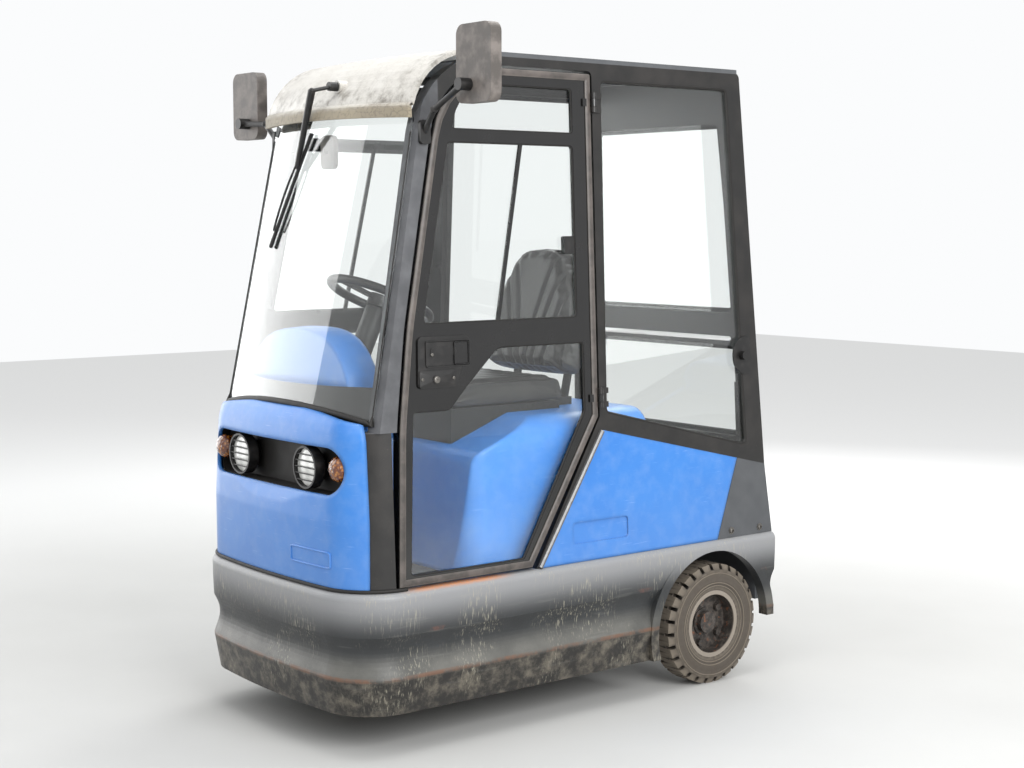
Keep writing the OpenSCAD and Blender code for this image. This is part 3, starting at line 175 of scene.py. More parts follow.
# The foot below the ridge is caked brown-grey
foot = add(tree, "MapRange", "Result", **eased, Value=z, From_Min=ridge_z + 0.008, From_Max=ridge_z - 0.012)
cake = add(tree, "MapRange", "Result", **eased, Value=patch, From_Min=0.40, From_Max=0.75)
cake = add(tree, "Math", operation="MULTIPLY", Value=foot, Value_001=cake)
paint = add(tree, "Mix", "Result", data_type="RGBA", Factor=foot, A=paint, B="#242220")
paint = add(tree, "Mix", "Result", data_type="RGBA", Factor=cake, A=paint, B="#6B655A")
# Carts leave short pale upright strokes on the flanks, and doors long level scuffs
stroke = add(tree, "TexNoise", "Fac", Vector=upright, Scale=1 / 0.005, Detail=3.0, Roughness=0.6)
stroke = add(tree, "MapRange", "Result", **eased, Value=stroke, From_Min=0.54, From_Max=0.70, To_Max=0.65)
where = add(tree, "TexNoise", "Fac", Vector=at, Scale=1 / 0.21, Detail=2.0)
where = add(tree, "MapRange", "Result", **eased, Value=where, From_Min=0.47, From_Max=0.62)
stroke = add(tree, "Math", operation="MULTIPLY", Value=stroke, Value_001=where)
paint = add(tree, "Mix", "Result", data_type="RGBA", Factor=stroke, A=paint, B="#A49F8E")
scuff = add(tree, "TexNoise", "Fac", Vector=level, Scale=1 / 0.02, Detail=4.0, Roughness=0.6)
scuff = add(tree, "MapRange", "Result", Value=scuff, From_Min=0.60, From_Max=0.80, To_Max=0.2)
paint = add(tree, "Mix", "Result", data_type="RGBA", Factor=scuff, A=paint, B="#97968F")
# The ridge and the lip under the band are rubbed to rust in broken lengths
broken = add(tree, "TexNoise", "Fac", Vector=at, Scale=1 / 0.09, Detail=6.0, Roughness=0.7)
for height, width, cut, rust in ((ridge_z, 0.009, 0.42, "#6A4C3A"), (band_z, 0.010, 0.60, "#6E473A")):
    off = add(tree, "Math", operation="SUBTRACT", Value=z, Value_001=height)
    off = add(tree, "Math", operation="ABSOLUTE", Value=off)
    line = add(tree, "MapRange", "Result", **eased, Value=off, From_Min=width, From_Max=width / 3)
    gaps = add(tree, "MapRange", "Result", Value=broken, From_Min=cut, From_Max=cut + 0.16, To_Max=0.85)
    line = add(tree, "Math", operation="MULTIPLY", Value=line, Value_001=gaps)
    paint = add(tree, "Mix", "Result", data_type="RGBA", Factor=line, A=paint, B=rust)
# Shoes have worn the sill under the left door to primer
tread = add(tree, "MapRange", "Result", **eased, Value=z, From_Min=sill_z - 0.011, From_Max=sill_z)
for value, clean, bare in ((x, 0.28, 0.40), (x, 0.74, 0.62), (y, 0.38, 0.42), (fine, 0.25, 0.55)):
    near = add(tree, "MapRange", "Result", **eased, Value=value, From_Min=clean, From_Max=bare)
    tread = add(tree, "Math", operation="MULTIPLY", Value=tread, Value_001=near)
add(tree, "Mix", "Result", data_type="RGBA", Factor=tread, A=paint, B="#C0825A", to=shader["Base Color"])
add(tree, "MapRange", "Result", Value=fine, To_Min=0.30, To_Max=0.58, to=shader["Roughness"])
dents = add(tree, "Bump", Height=cloud, Distance=0.0015)
add(tree, "Bump", Height=fine, Distance=0.0003, Normal=dents, to=shader["Normal"])
dress(bumper, "skirt")

# Chassis
# Welded steel deck, axle and fork, and a cast tow jaw bolted to the tail, all painted black.
# The battery's case and the seat's base are moulded, and the tow pin is forged.
# Chassis paint: brushed on thick and matt, so hardly any sheen, under clouds of brown road dust
black_steel, tree, shader, at = material("dusty_chassis_paint")
dust = add(tree, "TexNoise", "Fac", Vector=at, Scale=1 / 0.022, Detail=6.0, Roughness=0.7)
dust = add(tree, "MapRange", "Result", **eased, Value=dust, From_Min=0.42, From_Max=0.72)
add(tree, "Mix", "Result", data_type="RGBA", Factor=dust, A="#1E1D1B", B="#4B4640", to=shader["Base Color"])
add(tree, "MapRange", "Result", Value=dust, To_Min=0.5, To_Max=0.85, to=shader["Roughness"])
sand = add(tree, "TexNoise", "Fac", Vector=at, Scale=1 / 0.004, Detail=4.0)
add(tree, "Bump", Height=sand, Distance=0.00015, to=shader["Normal"])
dress(black_steel, "deck", "rear_axle", "fork", "tow_jaw")

# Polypropylene: moulded with a fine matt spark texture
case, tree, shader, at = material("polypropylene_case", Roughness=0.6, Specular_IOR_Level=0.25)
shade = add(tree, "TexNoise", "Fac", Vector=at, Scale=1 / 0.04)
add(tree, "Mix", "Result", data_type="RGBA", Factor=shade, A="#141414", B="#22211F", to=shader["Base Color"])
spark = add(tree, "TexNoise", "Fac", Vector=at, Scale=1 / 0.0015)
add(tree, "Bump", Height=spark, Distance=0.00005, to=shader["Normal"])
dress(case, "battery", "seat_base")

# Bare forged steel: machined, then dulled by handling and light rust
forged, tree, shader, at = material("bare_forged_steel", Metallic=1.0)
rust = add(tree, "TexNoise", "Fac", Vector=at, Scale=1 / 0.010, Detail=5.0, Roughness=0.7)
rust = add(tree, "MapRange", "Result", **eased, Value=rust, From_Min=0.5, From_Max=0.7)
add(tree, "Mix", "Result", data_type="RGBA", Factor=rust, A="#8C8984", B="#6E4A33", to=shader["Base Color"])
add(tree, "MapRange", "Result", Value=rust, To_Min=0.32, To_Max=0.75, to=shader["Roughness"])
dress(forged, "tow_pin")


# Wheels
# Industrial tyres with block lugs, on pressed steel rims nutted to their hubs.
# Road dust lies on the walls and on the lugs' edges, and brake dust and rust in the dish.
def piece(name, grids, mat, body, sharp=40.0):
    """One mesh of equal grids of points, rows x columns. Columns close on themselves, and poles merge."""
    grids = grids[None] if grids.ndim == 3 else grids
    count, rows, cols = grids.shape[:3]
    g, i, j = np.meshgrid(np.arange(count), np.arange(rows - 1), np.arange(cols), indexing="ij")
    first, side = g * rows * cols + i * cols, (j + 1) % cols
    faces = np.stack([first + j, first + side, first + cols + side, first + cols + j], -1).reshape(-1, 4)
    data = bpy.data.meshes.new(name)
    data.from_pydata(grids.reshape(-1, 3).tolist(), [], faces.tolist())
    skin = bmesh.new()
    skin.from_mesh(data)
    bmesh.ops.remove_doubles(skin, verts=skin.verts, dist=1e-6)
    bmesh.ops.recalc_face_normals(skin, faces=skin.faces)
    skin.to_mesh(data)
    skin.free()
    data.shade_smooth()
    data.set_sharp_from_angle(angle=np.radians(sharp))
    data.materials.append(mat)
    made = bpy.data.objects.new(name, data)
    bpy.context.scene.collection.objects.link(made)
    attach(made, body)


def tube(path, r, sides=10, loop=False):
    """Rings p + r (cos a n + sin a b) square to a path; they close to points at its ends, or on its start."""
    along = np.roll(path, -1, 0) - np.roll(path, 1, 0) if loop else np.gradient(path, axis=0)
    n = np.cross(along, (0.31, 0.52, 0.80))
    n /= np.linalg.norm(n, axis=1, keepdims=True)
    b = np.cross(along / np.linalg.norm(along, axis=1, keepdims=True), n)
    a = 2 * np.pi * np.arange(sides) / sides
    rings = path[:, None] + r * (np.cos(a)[:, None] * n[:, None] + np.sin(a)[:, None] * b[:, None])
    if loop:
        return np.concatenate([rings, rings[:1]])
    return np.concatenate([np.repeat(path[:1, None], sides, 1), rings, np.repeat(path[-1:, None], sides, 1)])


# Tyre rubber: moulded and matt, with grey-brown dust on the walls and lug edges scuffed pale
tyre, tree, shader, at = material("dusty_tyre_rubber", Specular_IOR_Level=0.3)
dust = add(tree, "TexNoise", "Fac", Vector=at, Scale=1 / 0.03, Detail=6.0, Roughness=0.65)
dust = add(tree, "MapRange", "Result", **eased, Value=dust, From_Min=0.32, From_Max=0.68)
edge = add(tree, "NewGeometry", "Pointiness")
edge = add(tree, "MapRange", "Result", Value=edge, From_Min=0.50, From_Max=0.58)
rubber = add(tree, "Mix", "Result", data_type="RGBA", Factor=dust, A="#131211", B="#2C2825")
facing = add(tree, "SeparateXYZ", "Y", Vector=add(tree, "NewGeometry", "Normal"))
facing = add(tree, "Math", operation="ABSOLUTE", Value=facing)
wall = add(tree, "MapRange", "Result", Value=facing, From_Min=0.55, From_Max=0.95, To_Max=0.7)
rubber = add(tree, "Mix", "Result", data_type="RGBA", Factor=wall, A=rubber, B="#575049")
add(tree, "Mix", "Result", data_type="RGBA", Factor=edge, A=rubber, B="#7D7468", to=shader["Base Color"])
add(tree, "MapRange", "Result", Value=dust, To_Min=0.62, To_Max=0.92, to=shader["Roughness"])
crumb = add(tree, "TexNoise", "Fac", Vector=at, Scale=1 / 0.006, Detail=5.0)
add(tree, "Bump", Height=crumb, Distance=0.0004, to=shader["Normal"])
dress(tyre, "front_tyre", "rear_tyre_left", "rear_tyre_right")

# Moulded rings on the walls, as radius and distance from the tyre's middle
wall_rings, ring_r = ((0.1755, 0.0525), (0.142, 0.0525), (0.1315, 0.0495)), 0.0022
axle_z, front_x, rear_axle_x, half_track = 0.206, 0.504, -0.581, 0.416
a = np.linspace(0, 2 * np.pi, 72, endpoint=False)
for body, x, y, faces in (("rear_wheel_left", rear_axle_x, half_track, (1,)),
                          ("rear_wheel_right", rear_axle_x, -half_track, (-1,)),
                          ("front_wheel", front_x, 0.0, (1, -1))):
    rings = []
    for face in faces:
        for radius, aside in wall_rings:
            circle = np.stack([x + radius * np.cos(a), y + face * aside + 0 * a,
                               axle_z + radius * np.sin(a)], -1)
            rings.append(tube(circle, ring_r, 8, True))
    piece(body + "_wall_rings", np.stack(rings), tyre, body)

# Enamelled rim: brown dust all over, rubbed pale along the flange, with rust round the nuts
rim_paint, tree, shader, at = material("dusty_rim_enamel")
y = add(tree, "SeparateXYZ", "Y", Vector=at)
dust = add(tree, "TexNoise", "Fac", Vector=at, Scale=1 / 0.018, Detail=6.0, Roughness=0.7)
tone = add(tree, "MapRange", "Result", **eased, Value=dust, From_Min=0.40, From_Max=0.70)
paint = add(tree, "Mix", "Result", data_type="RGBA", Factor=tone, A="#2A2724", B="#58504A")
rust = add(tree, "TexNoise", "Fac", Vector=at, Scale=1 / 0.026, Detail=4.0, Roughness=0.7)
rust = add(tree, "MapRange", "Result", **eased, Value=rust, From_Min=0.58, From_Max=0.68)
paint = add(tree, "Mix", "Result", data_type="RGBA", Factor=rust, A=paint, B="#7A4A2E")
aside = add(tree, "Math", operation="ABSOLUTE", Value=y)
flange = add(tree, "MapRange", "Result", Value=aside, From_Min=0.456, From_Max=0.461)
add(tree, "Mix", "Result", data_type="RGBA", Factor=flange, A=paint, B="#8C8378", to=shader["Base Color"])
add(tree, "MapRange", "Result", Value=dust, To_Min=0.4, To_Max=0.8, to=shader["Roughness"])
add(tree, "Bump", Height=dust, Distance=0.0003, to=shader["Normal"])
dress(rim_paint, "front_rim", "rear_rim_left", "rear_rim_right")

# Blue mouldings
# Cowl, quarter panels, seat hood and dash, moulded in through-coloured plastic and screwed to the frame.
# A rubber strip lies along the cowl's foot, and a blank name panel is moulded in its left front.
# Polyethylene: satin from years of washing, with chalky clouds and hair scratches
blue, tree, shader, at = material("blue_polyethylene", Specular_IOR_Level=0.6)
z = add(tree, "SeparateXYZ", "Z", Vector=at)
cloud = add(tree, "TexNoise", "Fac", Vector=at, Scale=1 / 0.18, Detail=3.0)
chalk = add(tree, "TexNoise", "Fac", Vector=at, Scale=1 / 0.05, Detail=6.0, Roughness=0.6)
colour = add(tree, "Mix", "Result", data_type="RGBA", Factor=cloud, A="#2B71C1", B="#3A82CF")
chalk = add(tree, "MapRange", "Result", Value=chalk, From_Min=0.45, From_Max=0.8, To_Max=0.3)
colour = add(tree, "Mix", "Result", data_type="RGBA", Factor=chalk, A=colour, B="#7C9CCB")
# The mouldings turn paler and greyer towards the bottom
paler_towards_foot = add(tree, "MapRange", "Result", **eased, Value=z, From_Min=0.80, From_Max=0.50, To_Max=0.15)
colour = add(tree, "Mix", "Result", data_type="RGBA", Factor=paler_towards_foot, A=colour, B="#6C85B4")
hair = add(tree, "Mapping", Vector=at, Scale=(0.05, 0.05, 1.0), Rotation=(0.2, 0.1, 0.0))
hair = add(tree, "TexNoise", "Fac", Vector=hair, Scale=1 / 0.004, Detail=2.0)
hair = add(tree, "MapRange", "Result", Value=hair, From_Min=0.68, From_Max=0.76, To_Max=0.3)
add(tree, "Mix", "Result", data_type="RGBA", Factor=hair, A=colour, B="#9DBCE6", to=shader["Base Color"])
add(tree, "MapRange", "Result", Value=cloud, To_Min=0.26, To_Max=0.42, to=shader["Roughness"])
# The mould's edges are rounded, so the sheen rolls over them
rolled = add(tree, "Bevel", "Normal", samples=6, Radius=0.02)
wave = add(tree, "Bump", Height=cloud, Distance=0.0012, Normal=rolled)
orange_peel = add(tree, "TexNoise", "Fac", Vector=at, Scale=1 / 0.003)
add(tree, "Bump", Height=orange_peel, Distance=0.00003, Normal=wave, to=shader["Normal"])
dress(blue, "front_cowl", "quarter_panels", "seat_hood", "dash")

# Extruded rubber: dull black under a grey bloom
black_rubber, tree, shader, at = material("dull_black_rubber", Specular_IOR_Level=0.35)
bloom = add(tree, "TexNoise", "Fac", Vector=at, Scale=1 / 0.03, Detail=5.0)
add(tree, "Mix", "Result", data_type="RGBA", Factor=bloom, A="#100F0E", B="#2A2826", to=shader["Base Color"])
add(tree, "MapRange", "Result", Value=bloom, To_Min=0.45, To_Max=0.75, to=shader["Roughness"])

nose_x, nose_r, corner_r, half_w = 0.911, 3.2, 0.187, 0.488
turn = np.arcsin((half_w - corner_r) / (nose_r - corner_r))
nose_cx = nose_x - nose_r
corner_cx, corner_cy = nose_cx + (nose_r - corner_r) * np.cos(turn), half_w - corner_r


def nose_plan(inset, rear_x):
    """Plan of the nose inset from the skirt's face: side, corner arc, front arc, corner arc, side."""
    arcs = [(corner_cx, -corner_cy, corner_r, np.linspace(-np.pi / 2, -turn, 12)),
            (nose_cx, 0.0, nose_r, np.linspace(-turn, turn, 25)[1:-1]),
            (corner_cx, corner_cy, corner_r, np.linspace(turn, np.pi / 2, 12))]
    bow = [np.stack([cx + (r - inset) * np.cos(t), cy + (r - inset) * np.sin(t)], -1)
           for cx, cy, r, t in arcs]
    return np.concatenate([[[rear_x, inset - half_w]], *bow, [[rear_x, half_w - inset]]])


strip_z, strip_r = 0.501, 0.0055
plan = nose_plan(0.014, 0.70)
strip = np.concatenate([plan, np.full((len(plan), 1), strip_z)], 1)
piece("cowl_foot_strip", tube(strip, strip_r, 8), black_rubber, "chassis")


def oblong(half_y, half_z, power, count):
    """Superellipse (a k cos t, b k sin t), with k = (|cos t| ** p + |sin t| ** p) ** (-1 / p)."""
    t = np.linspace(0, 2 * np.pi, count, endpoint=False)
    k = (np.abs(np.cos(t)) ** power + np.abs(np.sin(t)) ** power) ** (-1 / power)
    return half_y * k * np.cos(t), half_z * k * np.sin(t)


# The name panel is a raised frame, 195 x 46 mm, on the cowl's bowed face
panel_y, panel_z, cowl_inset = 0.2375, 0.585, 0.015
y, z = oblong(0.0975, 0.023, 12, 160)
x = nose_cx + np.sqrt((nose_r - cowl_inset) ** 2 - (panel_y + y) ** 2)
raised = np.stack([x, panel_y + y, panel_z + z], -1)
# It is thinner than the mouldings' rolled edges, so its own roll is small
plate_blue = blue.copy()
plate_blue.name = "blue_embossed_plate"
plate_blue.node_tree.nodes["Bevel"].inputs["Radius"].default_value = 0.0005
piece("blank_name_panel", tube(raised, 0.003, 8, True), plate_blue, "chassis")

# Tail
# Dark grey plastic corners and tail panel, moulded with a grain like slate and screwed to the chassis.
# Red lamps are set in the panel, and four bolts hold the tow jaw.
# ABS: leather-grained by its mould, so the sheen is soft and broken
slate, tree, shader, at = material("grained_grey_abs")
cloud = add(tree, "TexNoise", "Fac", Vector=at, Scale=1 / 0.06, Detail=5.0)
add(tree, "Mix", "Result", data_type="RGBA", Factor=cloud, A="#3E4043", B="#57595C", to=shader["Base Color"])
add(tree, "MapRange", "Result", Value=cloud, To_Min=0.48, To_Max=0.66, to=shader["Roughness"])
leather = add(tree, "TexNoise", "Fac", Vector=at, Scale=1 / 0.0022, Detail=3.0)
add(tree, "Bump", Height=leather, Distance=0.00018, to=shader["Normal"])
dress(slate, "tail_panel", "rear_corners")

tumble, side_y0 = np.radians(2.577), 0.49341


def on_side(x, up, depth, sign=1):
    """Points on the cab's leaning side: (x, sign (y0 - up sin t - depth cos t), up cos t - depth sin t)."""
    y = side_y0 - up * np.sin(tumble) - depth * np.cos(tumble)
    return np.stack([x + 0 * y, sign * y, up * np.cos(tumble) - depth * np.sin(tumble)], -1)


def turned(profile, places, axis, sides=18):
    """Revolved (radius, height) profiles: place + r (cos a n + sin a b) + h axis, one for each place."""
    axis = np.array(axis, float) / np.linalg.norm(axis)
    n = np.cross(axis, (0.3, 0.2, 0.9))
    n /= np.linalg.norm(n)
    b = np.cross(axis, n)
    r, h = np.array(profile).T
    a = 2 * np.pi * np.arange(sides) / sides
    ring = np.cos(a)[:, None] * n + np.sin(a)[:, None] * b
    return np.array(places)[:, None, None] + r[:, None, None] * ring + h[:, None, None] * axis


# Zinc-plated screws, dulled to grey-brown
zinc, tree, shader, at = material("dulled_zinc", Metallic=0.9)
tarnish = add(tree, "TexNoise", "Fac", Vector=at, Scale=1 / 0.008, Detail=4.0)
add(tree, "Mix", "Result", data_type="RGBA", Factor=tarnish, A="#4A4744", B="#8A8782",
    to=shader["Base Color"])
add(tree, "MapRange", "Result", Value=tarnish, To_Min=0.35, To_Max=0.6, to=shader["Roughness"])

# Button head with its socket: a washer, a dome and a hole
button = [(0.0, -0.001), (0.0125, -0.001), (0.0125, 0.0015), (0.0095, 0.0015), (0.0085, 0.005),
          (0.005, 0.0065), (0.0045, 0.0030), (0.0, 0.0030)]
side_normal = np.array((0.0, np.cos(tumble), np.sin(tumble)))
for side, sign in (("left", 1), ("right", -1)):
    places = on_side(np.array((-0.656, -0.794)), np.array((0.522, 0.520)), 0.0, sign)
    heads = turned(button, places, side_normal * (1, sign, 1))
    piece("corner_screws_" + side, heads, zinc, "chassis")
tail_x, bolt_y, bolt_z = -0.840, 0.075, (0.275, 0.445)
places = [(tail_x, y, z) for y in (-bolt_y, bolt_y) for z in bolt_z]
piece("jaw_bolts", turned(button, places, (-1, 0, 0)), zinc, "chassis")

# Red acrylic: moulded glossy, with prisms drawn coarse, 57 mm, to show. A wave's period is pi / 10 / scale.
red, tree, shader, at = material("red_acrylic_lens", Roughness=0.18, Coat_Weight=0.4)
prism = add(tree, "TexWave", "Fac", Vector=at, Scale=np.pi / 10 / 0.0565, bands_direction="Y")
add(tree, "Mix", "Result", data_type="RGBA", Factor=prism, A="#6E0F0C", B="#9C1A14", to=shader["Base Color"])
add(tree, "Bump", Height=prism, Distance=0.0006, to=shader["Normal"])
dress(red, "tail_lamps")

# Lamps
# Round working lamps, in black bowls with wire guards, are bolted to a black tray behind the cowl's slot.
# Amber indicators fill the slot's ends.
# Pressed glass: bright, with soft flutes drawn coarse, 50 mm, to show
lens, tree, shader, at = material("fluted_lamp_glass", Roughness=0.14, Coat_Weight=0.6)
flute = add(tree, "TexWave", "Fac", Vector=at, Scale=np.pi / 10 / 0.0503, Distortion=0.4, bands_direction="Y")
add(tree, "Mix", "Result", data_type="RGBA", Factor=flute, A="#D5D6D2", B="#F6F6F2", to=shader["Base Color"])
add(tree, "Bump", Height=flute, Distance=0.001, to=shader["Normal"])
dress(lens, "head_lamps")

# Amber acrylic over a silvered bowl: a ball-textured lens, so it glitters in cells 10 mm across
amber, tree, shader, at = material("amber_acrylic_lens", Roughness=0.12, Coat_Weight=0.6)
cell = add(tree, "TexVoronoi", "Distance", Vector=at, Scale=1 / 0.010)
glow = add(tree, "MapRange", "Result", Value=cell, From_Max=0.6)
add(tree, "Mix", "Result", data_type="RGBA", Factor=glow, A="#C07F35", B="#5E2A0A", to=shader["Base Color"])
add(tree, "Bump", Height=cell, Distance=0.003, to=shader["Normal"])
dress(amber, "indicators")

# Black nylon: from a spark-eroded mould, so an even fine satin, wiped brighter by hands
black, tree, shader, at = material("black_nylon")
wipe = add(tree, "TexNoise", "Fac", Vector=at, Scale=1 / 0.025, Detail=5.0)
tone = add(tree, "MapRange", "Result", **eased, Value=wipe, From_Min=0.45, From_Max=0.75)
add(tree, "Mix", "Result", data_type="RGBA", Factor=tone, A="#0E0D0D", B="#232120", to=shader["Base Color"])
add(tree, "MapRange", "Result", Value=wipe, To_Min=0.34, To_Max=0.58, to=shader["Roughness"])
spark = add(tree, "TexNoise", "Fac", Vector=at, Scale=1 / 0.0016)
add(tree, "Bump", Height=spark, Distance=0.00005, to=shader["Normal"])
dress(black_rubber, "lamp_tray")
dress(black, "lamp_guards", "instrument_panel", "steering_column", "steering_wheel", "pedals",
      "mirror_arms", "wipers", "door_left_latch", "door_right_latch", "window_latches", "gas_struts")

# Cab frame
# Steel pillars and rails, folded, welded and painted black-brown, with slate-grey windscreen posts.
# Rubber beads hold the fixed panes, and a metal strip trims each quarter panel's front edge.
# Sprayed enamel: hands and weather have rubbed it to a dull satin, and dust flecks it
frame_paint, tree, shader, at = material("black_brown_frame_paint")
x, z = (add(tree, "SeparateXYZ", axis, Vector=at) for axis in "XZ")
smear = add(tree, "TexNoise", "Fac", Vector=at, Scale=1 / 0.09, Detail=6.0, Roughness=0.6)
fleck = add(tree, "TexNoise", "Fac", Vector=at, Scale=1 / 0.005, Detail=5.0, Roughness=0.7)
tone = add(tree, "MapRange", "Result", **eased, Value=smear, From_Min=0.35, From_Max=0.75)
paint = add(tree, "Mix", "Result", data_type="RGBA", Factor=tone, A="#131211", B="#24211F")
post = add(tree, "MapRange", "Result", Value=x, From_Min=0.530, From_Max=0.535)
above = add(tree, "MapRange", "Result", Value=z, From_Min=0.962, From_Max=0.965)
post = add(tree, "Math", operation="MULTIPLY", Value=post, Value_001=above)
grey = add(tree, "Mix", "Result", data_type="RGBA", Factor=tone, A="#494A4D", B="#5F6063")
paint = add(tree, "Mix", "Result", data_type="RGBA", Factor=post, A=paint, B=grey)
speck = add(tree, "MapRange", "Result", Value=fleck, From_Min=0.64, From_Max=0.74, To_Max=0.4)
add(tree, "Mix", "Result", data_type="RGBA", Factor=speck, A=paint, B="#6A6257", to=shader["Base Color"])
add(tree, "MapRange", "Result", Value=smear, To_Min=0.30, To_Max=0.52, to=shader["Roughness"])
add(tree, "Bump", Height=fleck, Distance=0.00008, to=shader["Normal"])
dress(frame_paint, "cab_side_left", "cab_side_right", "rear_frame", "rear_shelf")


def rounded(corners, inset=0.0, n=6):
    """Anticlockwise outline of (x, y, radius) corners moved inwards, each rounded by an arc of n steps."""
    b = np.array(corners)
    e = b[:, :2] - np.roll(b, 1, 0)[:, :2]
    e /= np.linalg.norm(e, axis=1, keepdims=True)
    f = np.roll(e, -1, 0)
    m, k = np.stack([-e[:, 1], e[:, 0]], -1), np.stack([-f[:, 1], f[:, 0]], -1)
    tip = b[:, :2] + inset * (m + k) / (1 + (m * k).sum(1, keepdims=True))
    bend = np.arctan2(e[:, 0] * f[:, 1] - e[:, 1] * f[:, 0], (e * f).sum(1))
    r = np.maximum(0.0008, b[:, 2] - inset * np.sign(bend))
    reach = r * np.tan(np.abs(bend) / 2)
    s = np.linspace(0, 1, n + 1)[None, :, None] * bend[:, None, None]
    centre = tip - reach[:, None] * e + np.sign(bend)[:, None] * r[:, None] * m
    arm = -np.sign(bend)[:, None] * r[:, None] * m
    turned_arm = np.stack([-arm[:, 1], arm[:, 0]], -1)
    return (centre[:, None] + np.cos(s) * arm[:, None] + np.sin(s) * turned_arm[:, None]).reshape(-1, 2)


window = [(-0.741, 0.808, 0.020), (-0.097, 0.966, 0.020), (-0.104, 2.026, 0.020), (-0.677, 2.026, 0.020)]
rear_tilt, rear_x, rear_z = np.arctan2(0.090, 2.076 - 0.739), -0.823, 0.739


def on_rear(y, z, depth):
    """Points on the leaning rear wall, s = (z - z0) / cos L up it and set in by depth along its normal."""
    s = (z - rear_z) / np.cos(rear_tilt)
    return np.stack([rear_x + depth * np.cos(rear_tilt) + s * np.sin(rear_tilt), y,
                     rear_z - depth * np.sin(rear_tilt) + s * np.cos(rear_tilt)], -1)


bead_inset, bead_r, rear_post = 0.002, 0.006, 0.0931
beads = []
for sign in (1, -1):
    beads.append(tube(on_side(*rounded(window, bead_inset).T, bead_r, sign), bead_r, 8, True))
piece("quarter_window_beads", np.stack(beads), black_rubber, "chassis")
beads = []
for sill, head in ((0.838, 1.140), (1.269, 1.904)):
    w0, w1 = (side_y0 - np.tan(tumble) * z - rear_post for z in (sill, head))
    hole = [(-w0, sill, 0.018), (w0, sill, 0.018), (w1, head, 0.018), (-w1, head, 0.018)]
    beads.append(tube(on_rear(*rounded(hole, bead_inset).T, bead_r), bead_r, 8, True))
piece("rear_window_beads", np.stack(beads), black_rubber, "chassis")

# Anodised strip: thin grey metal, dulled in patches
strip_metal, tree, shader, at = material("grey_edge_strip", Metallic=0.6, Roughness=0.42)
brush = add(tree, "TexNoise", "Fac", Vector=at, Scale=1 / 0.012, Detail=5.0)
add(tree, "Mix", "Result", data_type="RGBA", Factor=brush, A="#56565A", B="#82827F", to=shader["Base Color"])
strip_half = 0.009
t = np.linspace(0, 1, 12)
strips = []
for sign in (1, -1):
    path = on_side(0.193 - 0.271 * t, 0.501 + 0.409 * t, -0.0005, sign)
    strips.append(tube(path, strip_half, 8))
piece("quarter_edge_strips", np.stack(strips), strip_metal, "chassis")

# Glazing
# Toughened float glass in rubber, with a black ceramic border printed on its edge.
# A rubber gasket seals the windscreen along the cowl and down both posts.
# Float glass: polished, so clear, with the room's white mirrored in it. The lamps shine through it.
glass, tree, *_ = material("toughened_glass", Transmission_Weight=1.0, IOR=1.5, Roughness=0.0,
                           Base_Color="#FAFCFB")
clear = add(tree, "BsdfTransparent", Color="#EEF3F2")
polished = tree.nodes["Principled BSDF"].outputs["BSDF"]
lamps = add(tree, "LightPath", "Is Shadow Ray")
add(tree, "MixShader", Fac=lamps, Shader=polished, Shader_001=clear,
    to=tree.nodes["Material Output"].inputs["Surface"])
dress(glass, "windscreen", "side_windows", "rear_windows", "door_left_glass", "door_right_glass")

# Ceramic ink: fired on, so a smooth even black
frit, tree, shader, at = material("black_ceramic_border", Roughness=0.28)
film = add(tree, "TexNoise", "Fac", Vector=at, Scale=1 / 0.05, Detail=5.0)
add(tree, "Mix", "Result", data_type="RGBA", Factor=film, A="#0E0E0E", B="#1F1E1D", to=shader["Base Color"])

screen_x, screen_z, screen_r, lean = 0.839, 1.027, 1.5, np.radians(11.65)


def on_screen(y, up, off):
    """Points off the bent windscreen: u = sqrt(R^2 - y^2) - R + off, leaned back about its foot."""
    u = np.sqrt(screen_r ** 2 - y ** 2) - screen_r + off
    return np.stack([screen_x + u * np.cos(lean) - up * np.sin(lean), y + 0 * up,
                     screen_z + u * np.sin(lean) + up * np.cos(lean)], -1)


# The foot follows the cowl's crown, a circle of 2.27 m
crown_r, crown_z, screen_half, post_lip, foot_lip = 2.2725, 1.025, 0.424, 0.002, 0.010
y = np.linspace(post_lip - screen_half, screen_half - post_lip, 49)
foot = (crown_z - crown_r + np.sqrt((crown_r + post_lip) ** 2 - y ** 2) - screen_z
        - (np.sqrt(screen_r ** 2 - y ** 2) - screen_r) * np.sin(lean)) / np.cos(lean)
up = np.linspace(0.0, 0.84, 24)
half = screen_half - 0.036 * (up + 0.08) / 0.98
gasket = np.concatenate([on_screen(-half[::-1], up[::-1], post_lip), on_screen(y, foot, post_lip),
                         on_screen(half, up, post_lip)])
thick = np.full(len(gasket), post_lip)
thick[up.size:-up.size] = foot_lip
piece("windscreen_gasket", tube(gasket, thick[:, None, None], 10), black_rubber, "chassis")
band = 0.062 + 0.05 * (y / screen_half) ** 2
inner, outer = (np.stack([on_screen(y, foot, off), on_screen(y, foot + band, off)])
                for off in (-0.0062, -0.0056))
printed = np.concatenate([outer, inner[::-1]]).transpose(1, 0, 2)
ends = [np.broadcast_to(row.mean(0), (1, *row.shape)) for row in (printed[0], printed[-1])]
piece("windscreen_border", np.concatenate([ends[0], printed, ends[1]]), frit, "chassis")

